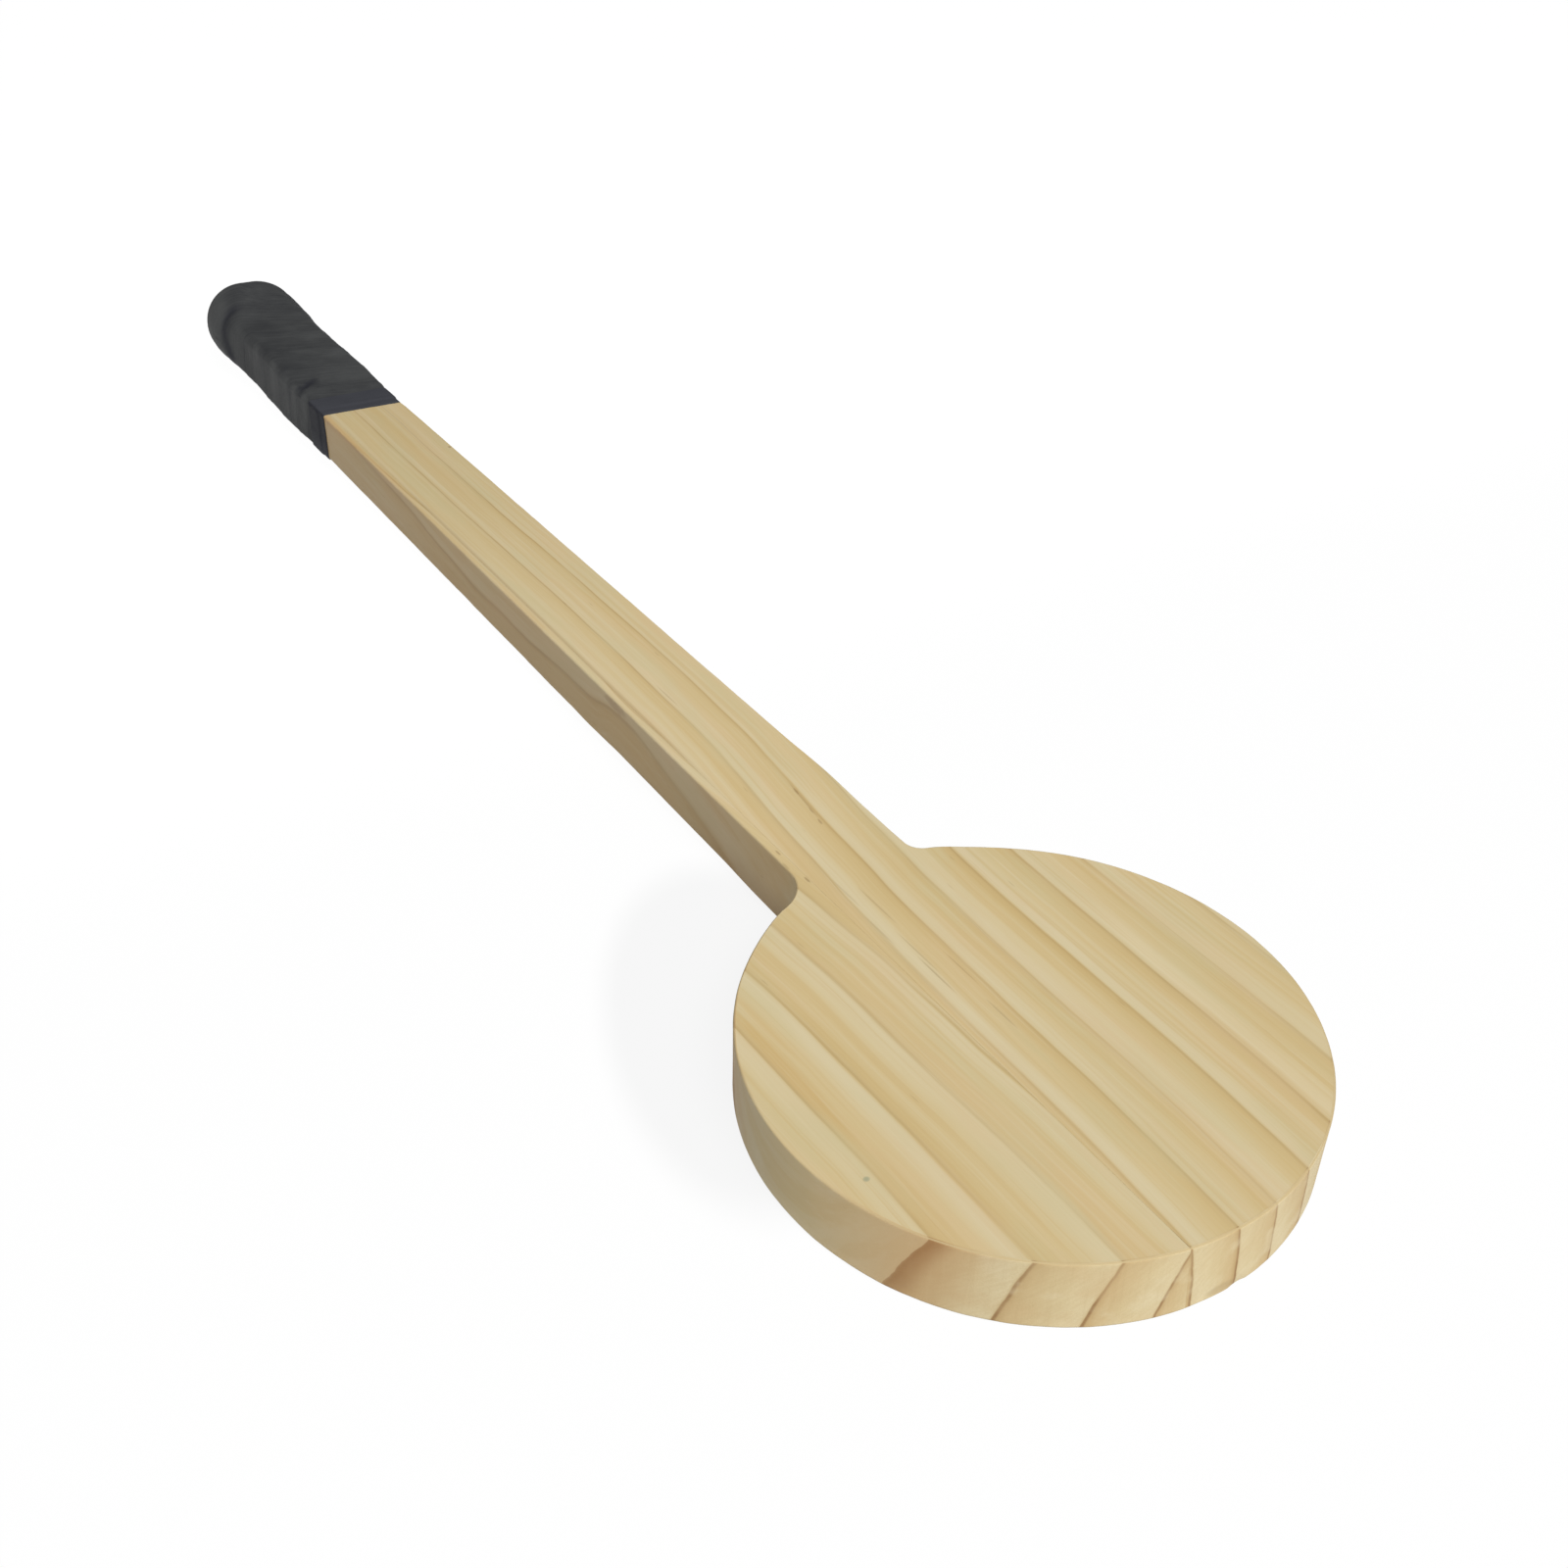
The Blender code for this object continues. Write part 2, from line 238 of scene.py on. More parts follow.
def lin(r, g, b):
    """sRGB 0-255 to linear."""
    out = []
    for v in (r, g, b):
        v /= 255.0
        out.append(v / 12.92 if v <= 0.04045 else ((v + 0.055) / 1.055) ** 2.4)
    return tuple(out)


# ----------------------------------------------------------------- wood finish
EXPOSE = 0.76      # reflectance that shows as the wanted colour in this light


def wood_colour(r, g, b):
    return tuple(c * EXPOSE for c in lin(r, g, b))


def wood(name, side):
    """Sawn softwood. The growth rings are cylinders round the stem's centre,
    which lies outside the board, and they wander along its length; the same
    rings therefore cross the faces, the rim and the shaft's sides. side +1 is
    the wide stave, whose rings grow to the right, -1 the narrow one."""
    n = Nodes(name)
    pos, x, y, z = n.mm()
    yl = n.sub(y, HEAD_Y)                 # from the head's centre

    # slow wander of the grain
    wav = n.noise(n.vec(n.mul(x, 0.05), n.mul(y, 0.014), n.mul(z, 0.07)), 1.0, 2.0)
    wob = n.noise(n.vec(n.mul(x, 0.22), n.mul(y, 0.045), n.mul(z, 0.25)), 1.0, 2.0)
    wander = n.add(n.mul(n.sub(wav, 0.5), 1.1), n.mul(n.sub(wob, 0.5), 0.6))

    if side > 0:
        cx, cz = -120.0, Z_TOP - 25.0
        drift = n.curve(yl, [(-62, -1.9), (-45, -1.0), (-20, -0.2), (0, 0), (30, 0.5), (50, 1.2),
                             (60, 2.0), (80, 3.3), (110, 6.0), (138, 7.5), (200, 8.0),
                             (300, 7.0), (390, 7.3), (540, 8.0)])
        rings = [92.0, 102.3, 112.6, 122.7, 132.4, 143.4, 155.5, 167.9, 179.9, 192.0]
        strength = [0.5, 0.6, 0.75, 0.95, 0.75, 0.95, 1.0, 0.8, 0.7, 0.7]
    else:
        cx, cz = 102.0, Z_TOP - 47.0
        drift = n.curve(yl, [(-62, -1.5), (-45, -1.3), (-20, -0.9), (0, 0), (30, 0.8), (45, 1.9),
                             (58, 2.6), (98, 7.6), (130, 10.0), (152, 10.9), (170, 9.9),
                             (250, 9.3), (310, 11.1), (345, 11.8), (390, 12.5), (540, 13.5)])
        rings = [90.0, 102.5, 113.7, 124.7, 136.5, 148.7, 160.1, 172.5, 185.0]
        strength = [0.6, 0.65, 0.7, 0.75, 0.85, 0.8, 0.95, 0.8, 0.7]
    rr = n.math('SQRT', n.add(n.math('POWER', n.sub(x, cx), 2.0), n.math('POWER', n.sub(z, cz), 2.0)))
    w = n.add(n.sub(rr, drift), wander)

    count = n.curve(w, [(r, float(i)) for i, r in enumerate(rings)], 'AUTO_CLAMPED')
    phase = n.math('FRACT', count)
    ring = n.math('FLOOR', count)
    deep = n.curve(n.add(ring, 1.0), [(float(i), d) for i, d in enumerate(strength)], 'VECTOR')

    # fine fibres along the length, at three scales, in the rings' own direction
    fib = n.noise(n.vec(n.mul(w, 1.1), n.mul(y, 0.016), n.mul(z, 0.35)), 1.0, 3.0, 0.6)
    fib2 = n.noise(n.vec(n.mul(w, 3.1), n.mul(y, 0.045), n.mul(z, 1.0)), 1.0, 4.0, 0.62)
    fib3 = n.noise(n.vec(n.mul(w, 8.5), n.mul(y, 0.13), n.mul(z, 2.6)), 1.0, 3.0, 0.6)
    # a second, weaker set of lines inside each year's growth
    ply = n.noise(n.vec(n.mul(w, 0.62), n.mul(y, 0.006), n.mul(z, 0.1)), 1.0, 3.0, 0.55)

    # one year's growth: pale, then tan, a thin darker line, and a sharp return
    tone = n.ramp(phase, [(0.0, wood_colour(204, 184, 139)), (0.035, wood_colour(211, 195, 156)),
                          (0.16, wood_colour(213, 198, 161)), (0.30, wood_colour(211, 194, 153)),
                          (0.46, wood_colour(209, 188, 142)), (0.66, wood_colour(206, 183, 134)),
                          (0.84, wood_colour(203, 179, 128)), (0.92, wood_colour(198, 173, 122)),
                          (0.957, wood_colour(186, 160, 109)), (0.985, wood_colour(187, 162, 111)),
                          (1.0, wood_colour(204, 184, 139))])
    plain = wood_colour(208, 188, 143)
    vary = n.remap(n.noise(n.vec(n.mul(w, 0.09), n.mul(y, 0.02), n.mul(z, 0.03)), 1.0, 2.0), 0.35, 0.65, 0.75, 1.0)
    col = n.mix(n.mul(n.mul(deep, vary), n.remap(yl, 90.0, 160.0, 1.0, 0.66)), plain, tone)
    fine_line = n.mul(n.remap(phase, 0.945, 0.970, 0.0, 1.0), n.remap(phase, 0.984, 0.998, 1.0, 0.0))
    col = n.mix(n.mul(n.mul(fine_line, deep), n.remap(yl, 50.0, 230.0, 0.08, 0.66)), col, wood_colour(164, 136, 90))

    # slow patches: pinkish and olive wood, each a few rings wide
    pink = n.noise(n.vec(n.mul(w, 0.13), n.mul(y, 0.015), n.mul(z, 0.03)), 1.0, 3.0, 0.55)
    olive = n.noise(n.vec(n.mul(w, 0.15), n.add(n.mul(y, 0.021), 9.0), n.mul(z, 0.03)), 1.0, 3.0, 0.5)
    col = n.mix(n.remap(pink, 0.47, 0.66, 0.0, 0.34), col, wood_colour(212, 186, 144))
    col = n.mix(n.remap(olive, 0.49, 0.66, 0.0, 0.38), col, wood_colour(201, 189, 147))
    col = n.mix(n.remap(ply, 0.51, 0.64, 0.0, 0.38), col, wood_colour(200, 173, 119))
    col = n.mix(n.remap(ply, 0.35, 0.48, 0.32, 0.0), col, wood_colour(213, 199, 162))

    # the fibres' own light and dark
    late = n.remap(phase, 0.35, 0.95, 0.45, 1.0)
    streak = n.add(n.mul(n.sub(fib, 0.5), 0.5), n.add(n.mul(n.sub(fib2, 0.5), 0.5), n.mul(n.sub(fib3, 0.5), 0.3)))
    col = n.mix(n.mul(n.remap(streak, 0.02, 0.30, 0.0, 0.44), late), col, wood_colour(188, 159, 105))
    col = n.mix(n.remap(streak, -0.28, -0.02, 0.36, 0.0), col, wood_colour(220, 208, 174))
    if side > 0:
        # one wide pale year right of the middle
        pale = n.mul(n.remap(w, 155.8, 157.2, 0.0, 1.0), n.remap(w, 158.6, 161.0, 1.0, 0.0))
        pale = n.mul(pale, n.remap(yl, 5.0, 30.0, 0.42, 0.0))
        col = n.mix(pale, col, wood_colour(222, 208, 172))

    # resin canals: short thin brown dashes, here and there
    cell = n.node("ShaderNodeTexVoronoi", feature='F1', distance='EUCLIDEAN')
    n.link(n.vec(n.mul(w, 0.80), n.mul(y, 0.075), n.mul(z, 0.80)), cell.inputs["Vector"])
    cell.inputs["Scale"].default_value = 1.0
    cell.inputs["Randomness"].default_value = 1.0
    thin = n.remap(cell.outputs["Distance"], 0.04, 0.15, 1.0, 0.0)
    pick = n.node("ShaderNodeSeparateXYZ")
    n.link(cell.outputs["Color"], pick.inputs[0])
    some = n.math('GREATER_THAN', n.add(pick.outputs[0], n.mul(late, 0.06)), 0.965)
    dash = n.mul(n.mul(thin, some), n.mixf(pick.outputs[1], 0.10, 0.30))

    def spot(px, py, hx, hy, amount, slope=0.0):
        """A soft elliptical mark at (px, py) on the front face, head-centred."""
        dx = n.math('DIVIDE', n.sub(n.sub(x, px), n.mul(n.sub(yl, py), slope)), hx)
        dy = n.math('DIVIDE', n.sub(yl, py), hy)
        d = n.add(n.mul(dx, dx), n.mul(dy, dy))
        top = n.math('GREATER_THAN', z, Z_TOP - 1.2)
        return n.mul(n.mul(n.remap(d, 0.1, 1.0, 1.0, 0.0), amount), top)

    if side > 0:
        marks = [(-4.6, 47.5, 0.34, 9.0, 0.22), (-3.0, 5.5, 0.34, 6.0, 0.24), (3.95, 94.4, 0.38, 2.2, 0.50, 0.12),
                 (2.75, 85.8, 0.34, 1.8, 0.34, 0.12), (2.0, 80.8, 0.38, 1.5, 0.40, 0.12),
                 (3.5, 90.5, 0.32, 10.0, 0.26, 0.115), (-9.2, 40.0, 0.34, 7.0, 0.18),
                 (14.0, 338.3, 0.6, 0.9, 0.55), (-7.2, 22.0, 0.30, 8.0, 0.28), (-6.3, 30.0, 0.26, 9.0, 0.24),
                 (-1.5, 150.0, 0.30, 7.0, 0.22), (-8.1, 55.0, 0.30, 7.0, 0.18), (-1.4, 21.0, 0.28, 7.0, 0.22)]
    else:
        marks = [(-12.9, 63.3, 0.40, 1.5, 0.46), (-13.2, 75.3, 0.36, 1.4, 0.42), (-14.3, 70.0, 0.30, 2.0, 0.26)]
    for m in marks:
        dash = n.math('MAXIMUM', dash, spot(*m))
    col = n.mix(dash, col, wood_colour(126, 96, 58))

    # the glue line shows along the shaft's face
    glue = n.mul(n.remap(n.math('ABSOLUTE', n.sub(x, JOINT_TOP + 0.15)), 0.15, 0.95, 1.0, 0.0),
                 n.remap(z, Z_TOP - 0.9, Z_TOP - 0.3, 0.0, 1.0))
    glue = n.mul(glue, n.mul(n.remap(yl, 95.0, 135.0, 0.0, 0.34), n.remap(yl, 285.0, 320.0, 1.0, 0.2)))
    col = n.mix(glue, col, wood_colour(160, 130, 86))

    wall = n.math('LESS_THAN', x, -14.2)
    if side < 0:
        # a golden streak beside the outer ring and a tiny greenish fleck
        gold = n.math('MAXIMUM', spot(-49.0, 14.0, 2.3, 26.0, 0.60, -0.035), spot(-46.2, 27.0, 1.2, 14.0, 0.30, -0.05))
        gold = n.mul(gold, n.remap(fib2, 0.30, 0.62, 0.45, 1.0))
        col = n.mix(gold, col, wood_colour(200, 170, 114))
        col = n.mix(spot(-51.6, -16.4, 0.85, 0.75, 0.60), col, wood_colour(140, 150, 126))
        # the shaft's side: a small smudge, and redder wood near the grip's end
        knot = n.noise(n.vec(n.mul(y, 0.5), n.mul(z, 0.5), 3.0), 1.0, 2.0)
        ky = n.math('DIVIDE', n.sub(yl, 155.0), 7.0)
        kz = n.math('DIVIDE', n.sub(z, Z_TOP - 1.9), 1.5)
        kd = n.add(n.add(n.mul(ky, ky), n.mul(kz, kz)), n.mul(n.sub(knot, 0.5), 1.2))
        col = n.mix(n.mul(n.remap(kd, 0.1, 1.3, 0.36, 0.0), wall), col, wood_colour(150, 118, 76))
        red = n.mul(n.remap(yl, 270.0, 350.0, 0.25, 1.0), n.remap(z, Z_TOP - 3.2, Z_TOP - 0.3, 0.0, 0.50))
        red = n.mul(red, n.math('GREATER_THAN', yl, 200.0))
        col = n.mix(n.mul(red, n.remap(x, -12.6, -14.0, 0.0, 1.0)), col, wood_colour(202, 162, 108))
        # the shaft's sawn side is painted darker and browner than the faces: painted shade, deepening towards its
        # bottom and towards the head
        painted_side_shade = n.mul(n.remap(x, -13.9, -14.5, 0.0, 1.0), n.remap(yl, 62.0, 72.0, 0.0, 1.0))
        painted_side_shade = n.mul(painted_side_shade, n.remap(z, Z_TOP - 0.9, Z_TOP - 0.3, 1.0, 0.0))
        col = n.mix(painted_side_shade, col, (0.918, 0.848, 0.803), 'MULTIPLY')
        # painted shade: darker towards the bottom of the side, most near the head
        painted_low_shade = n.mul(painted_side_shade, n.remap(z, Z_BOT, Z_TOP, 1.0, 0.0, 'LINEAR'))
        col = n.mix(n.mul(painted_low_shade, n.remap(yl, 66.0, 150.0, 1.0, 0.45)), col, (0.80, 0.77, 0.74), 'MULTIPLY')
        # painted shade at the foot of the side, strongest near the head
        painted_foot_shade = n.mul(n.mul(painted_side_shade, n.remap(z, Z_BOT, Z_BOT + 9.0, 1.0, 0.0)), n.remap(yl, 66.0, 120.0, 1.0, 0.15))
        col = n.mix(painted_foot_shade, col, (0.82, 0.78, 0.76), 'MULTIPLY')

    # the face is a touch lighter from the middle of the head on
    face = n.remap(z, Z_TOP - 0.9, Z_TOP - 0.3, 0.0, 1.0)
    col = n.mix(n.mul(n.remap(yl, -30.0, 50.0, 0.0, 1.0), face), col, (1.032, 1.032, 1.035), 'MULTIPLY')
    fair = n.mul(n.mul(n.remap(yl, 50.0, 95.0, 0.0, 1.0), n.remap(yl, 190.0, 330.0, 1.0, 0.0)), face)
    col = n.mix(fair, col, (1.04, 1.04, 1.055), 'MULTIPLY')

    # end grain: where the outline cuts across the fibres
    end = n.remap(n.attr("end_grain"), 0.08, 0.60)
    pores = n.noise(n.vec(n.mul(x, 3.4), n.mul(y, 0.4), n.mul(z, 3.4)), 1.0, 3.0, 0.6)
    rays = n.noise(n.vec(n.mul(w, 0.35), n.mul(n.sub(z, x), 1.1), n.mul(y, 0.2)), 1.0, 3.0, 0.6)
    saw = n.noise(n.vec(n.mul(n.add(x, y), 0.55), n.mul(n.sub(x, y), 0.55), n.mul(z, 0.05)), 1.0, 3.0, 0.6)
    etone = n.ramp(phase, [(0.0, wood_colour(208, 188, 144)), (0.03, wood_colour(219, 203, 163)),
                           (0.32, wood_colour(217, 200, 158)), (0.60, wood_colour(209, 188, 143)),
                           (0.84, wood_colour(202, 176, 129)), (0.935, wood_colour(188, 157, 108)),
                           (0.968, wood_colour(152, 114, 70)), (0.986, wood_colour(158, 122, 78)),
                           (1.0, wood_colour(208, 188, 144))])
    endcol = n.mix(n.mul(deep, n.remap(z, Z_BOT, Z_TOP, 1.0, 0.80)), wood_colour(210, 189, 145), etone)
    line = n.mul(n.remap(phase, 0.927, 0.968, 0.0, 1.0), n.remap(phase, 0.984, 0.998, 1.0, 0.0))
    endcol = n.mix(n.mul(n.mul(line, deep), n.remap(z, Z_BOT + 3.0, Z_TOP, 0.62, 0.30)), endcol,
                   wood_colour(128, 86, 46))
    blot = n.noise(n.vec(n.mul(x, 0.09), n.mul(y, 0.05), n.mul(z, 0.11)), 1.0, 3.0, 0.55)
    endcol = n.mix(n.remap(blot, 0.50, 0.68, 0.0, 0.34), endcol, wood_colour(205, 176, 130))
    endcol = n.mix(n.remap(blot, 0.34, 0.48, 0.45, 0.0), endcol, wood_colour(223, 209, 172))
    endcol = n.mix(n.remap(n.add(n.mul(pores, 0.5), n.mul(rays, 0.5)), 0.38, 0.62, 0.20, 0.0), endcol,
                   wood_colour(184, 156, 108))
    endcol = n.mix(n.remap(saw, 0.50, 0.68, 0.0, 0.11), endcol, wood_colour(180, 152, 106))
    endcol = n.mix(n.remap(saw, 0.30, 0.46, 0.10, 0.0), endcol, wood_colour(225, 210, 172))
    if side < 0:
        # strong resinous latewood of the outer ring, sharp on its outer side
        inner = n.math('LESS_THAN', w, 160.12)
        endcol = n.mix(n.mul(n.mul(n.remap(w, 149.5, 158.5, 0.0, 1.0), inner), 0.50), endcol,
                       wood_colour(194, 153, 106))
        endcol = n.mix(n.mul(n.mul(n.remap(w, 156.8, 159.6, 0.0, 1.0), inner), 0.72), endcol,
                       wood_colour(159, 112, 66))
        outer = n.mul(n.remap(w, 160.2, 182.0, 0.85, 0.0), n.math('GREATER_THAN', w, 160.12))
        endcol = n.mix(outer, endcol, wood_colour(204, 170, 123))
    else:
        # a darker patch low on the near rim
        sx = n.math('DIVIDE', n.sub(x, -3.0), 4.0)
        sz = n.math('DIVIDE', n.sub(z, Z_TOP - 15.0), 1.3)
        sd = n.add(n.mul(sx, sx), n.mul(sz, sz))
        endcol = n.mix(n.remap(sd, 0.2, 1.2, 0.30, 0.0), endcol, wood_colour(150, 128, 92))
    col = n.mix(n.mul(end, 0.94), col, endcol)

    # rubbed arrises are a little paler; above the end grain they are painted darker, painted shade that damps their
    # highlight
    arris_wear_and_shade = n.attr("arris")
    col = n.mix(n.mul(arris_wear_and_shade, n.mul(n.sub(1.0, end), 0.12)), col, wood_colour(216, 198, 156))
    # painted shade on the arris above the end grain
    col = n.mix(n.mul(arris_wear_and_shade, n.mul(end, 0.85)), col, wood_colour(188, 168, 126))

    n.link(col, n.bsdf.inputs["Base Color"])
    rough = n.add(0.52, n.mul(streak, 0.20))
    rough = n.add(rough, n.mul(end, 0.12))
    n.link(rough, n.bsdf.inputs["Roughness"])
    n.bsdf.inputs["Specular IOR Level"].default_value = 0.14
    height = n.add(n.add(n.mul(fib3, 0.5), n.mul(fib2, 0.35)), n.mul(dash, -1.0))
    height = n.mixf(end, height, n.add(n.mul(pores, 1.0), n.add(n.mul(rays, 0.4), n.mul(saw, 0.8))))
    n.link(n.bump(height, 0.05, 0.5), n.bsdf.inputs["Normal"])
    return n.mat


# ----------------------------------------------------------------- tape finish
def tape_material(name, base, pale, rough, sheen, gloss, helix, deep=(0.30, 0.31, 0.50)):
    """Dark wrap. Fine pebble, short streaks along the winding, painted highlights and painted shade on the ridges and
    sides, and some rubbed paleness on the laps. helix > 0 adds painted shade low on the sides."""
    n = Nodes(name)
    pos, x, y, z = n.mm()
    along = n.attr("wind")                # distance along the winding
    across = n.attr("lay")                # distance across the tape
    st = n.noise(n.vec(n.mul(along, 0.05), n.mul(across, 0.9), 0.0), 1.0, 4.0, 0.6)
    st2 = n.noise(n.vec(n.mul(along, 0.16), n.mul(across, 2.6), 4.0), 1.0, 3.0, 0.6)
    mott = n.noise(n.vec(n.mul(x, 0.12), n.mul(y, 0.12), n.mul(z, 0.12)), 1.0, 3.0, 0.55)
    peb = n.node("ShaderNodeTexVoronoi", feature='F1')
    n.link(pos, peb.inputs["Vector"])
    peb.inputs["Scale"].default_value = 2.6
    fine = n.noise(pos, 5.0, 3.0, 0.6)
    painted_light_and_wear = n.attr("painted_light_and_wear")
    v = n.add(n.mul(n.sub(st, 0.5), 0.9), n.mul(n.sub(st2, 0.5), 0.5))
    v = n.add(v, n.mul(n.sub(mott, 0.5), 0.7))
    # painted highlights and painted shade from the ridge attribute, with some rubbed paleness
    v = n.add(v, n.mul(painted_light_and_wear, 0.62))
    v = n.add(v, n.mul(n.sub(fine, 0.5), 0.25))
    col = n.mix(n.remap(v, -0.45, 0.75), base, pale)
    if helix > 0:
        # painted shade: darker low on the sides, fading out towards the knob
        painted_low_shade = n.mul(n.remap(z, 7.0, 19.0, 0.30, 0.0, 'LINEAR'), n.remap(y, 240.0, 268.0, 1.0, 0.0))
        col = n.mix(painted_low_shade, col, tuple(c * 0.12 for c in base))
    # painted shade in creases, folds, seams and gathers, and down the band's left side
    painted_shade = n.attr("painted_shade")
    col = n.mix(n.mul(painted_shade, 0.65), col, tuple(c * k for c, k in zip(base, deep)))
    n.link(col, n.bsdf.inputs["Base Color"])
    r = n.add(rough, n.mul(n.sub(st2, 0.5), 0.18))
    r = n.add(r, n.mul(n.sub(fine, 0.5), 0.08))
    n.link(r, n.bsdf.inputs["Roughness"])
    n.bsdf.inputs["Specular IOR Level"].default_value = gloss
    n.bsdf.inputs["Sheen Weight"].default_value = sheen
    n.bsdf.inputs["Sheen Roughness"].default_value = 0.45
    h = n.add(n.mul(peb.outputs["Distance"], -0.7), n.mul(fine, 0.5))
    h = n.add(h, n.add(n.mul(st2, 0.9), n.mul(st, 0.6)))
    n.link(n.bump(h, 0.06, 0.7), n.bsdf.inputs["Normal"])
    return n.mat


def cap_material(name):
    """Matt moulded rubber with a fine spark texture and scuffs."""
    n = Nodes(name)
    pos, x, y, z = n.mm()
    spark = n.noise(pos, 3.5, 3.0, 0.65)
    scuff = n.noise(n.vec(n.mul(x, 0.25), n.mul(y, 0.25), n.mul(z, 0.6)), 1.0, 4.0, 0.6)
    col = n.mix(n.remap(scuff, 0.42, 0.68), (0.022, 0.022, 0.024), (0.045, 0.045, 0.046))
    col = n.mix(n.remap(spark, 0.55, 0.7, 0.0, 0.35), col, (0.06, 0.06, 0.06))
    n.link(col, n.bsdf.inputs["Base Color"])
    n.link(n.add(0.58, n.mul(scuff, 0.22)), n.bsdf.inputs["Roughness"])
    n.bsdf.inputs["Specular IOR Level"].default_value = 0.4
    n.link(n.bump(n.add(n.mul(spark, 1.0), n.mul(scuff, 0.3)), 0.06, 0.7), n.bsdf.inputs["Normal"])
    return n.mat


# ------------------------------------------------------------------ the staves
def neck(side):
    r = NECK_R[side]
    rt = HEAD_R + SHOULDER_E[side]
    cx = SHAFT_W / 2 + r
    cy = math.sqrt((rt + r) ** 2 - cx ** 2)
    return cx, cy, math.atan2(cx, cy)


def head_radius(side, ang):
    d = math.degrees(ang - neck(side)[2]) / SHOULDER_W[side]
    return HEAD_R + SHOULDER_E[side] / (1 + d * d)


def stave_path(side):
    """The sawn edge of a stave at mid thickness, from the glue line at the
    head's far edge to the end of the wood: points and outward normals, with
    the small waves of a hand-guided cut."""
    xj = (JOINT_TOP + JOINT_BOT) / 2
    cx, cy, at = neck(side)
    start = math.pi - side * math.asin(xj / HEAD_R)
    pts = []
    n = int(abs(start - at) * HEAD_R / 0.75)
    for i in range(n + 1):
        a = start + (at - start) * i / n
        r = head_radius(side, a)
        pts.append((side * r * math.sin(a), r * math.cos(a)))
    fr = NECK_R[side]
    a0, a1 = math.atan2(-cy, -cx), -math.pi
    m = max(10, int(abs(a1 - a0) * fr / 0.55))
    for i in range(1, m + 1):
        a = a0 + (a1 - a0) * i / m
        pts.append((side * (cx + fr * math.cos(a)), cy + fr * math.sin(a)))
    y_end = (Y_WOOD_END if side > 0 else Y_NARROW_END) - HEAD_Y
    m = int((y_end - cy) / 2.2)
    for i in range(1, m + 1):
        yy = cy + (y_end - cy) * i / m
        bulge = 0.42 * math.exp(-((yy - 98.0) / 13.0) ** 2) + 0.26 * float(smooth(60, 110, yy)) if side > 0 else 0.0
        pts.append((side * (SHAFT_W / 2 + bulge), yy))
    p = np.array(pts)
    # normals from neighbours
    t = np.gradient(p, axis=0)
    t /= np.linalg.norm(t, axis=1)[:, None]
    nrm = np.c_[t[:, 1], -t[:, 0]] * side
    if (p[len(p) // 4] @ nrm[len(p) // 4]) < 0:
        nrm = -nrm
    s = np.r_[0, np.cumsum(np.linalg.norm(np.diff(p, axis=0), axis=1))]
    under = smooth(382, 387, p[:, 1])
    wave = np.array([0.10 * (0.5 + 0.5 * n1(v / 21.0, 3 + side)) + 0.035 * n1(v / 5.0, 6 + side)
                     for v in s])
    p = p - nrm * (np.maximum(wave, 0.0) * (1 - under))[:, None]
    p[:, 0] = np.where(under > 0, side * np.minimum(side * p[:, 0], SHAFT_W / 2 + 0.3 - 0.35 * under), p[:, 0])
    return p, nrm, s


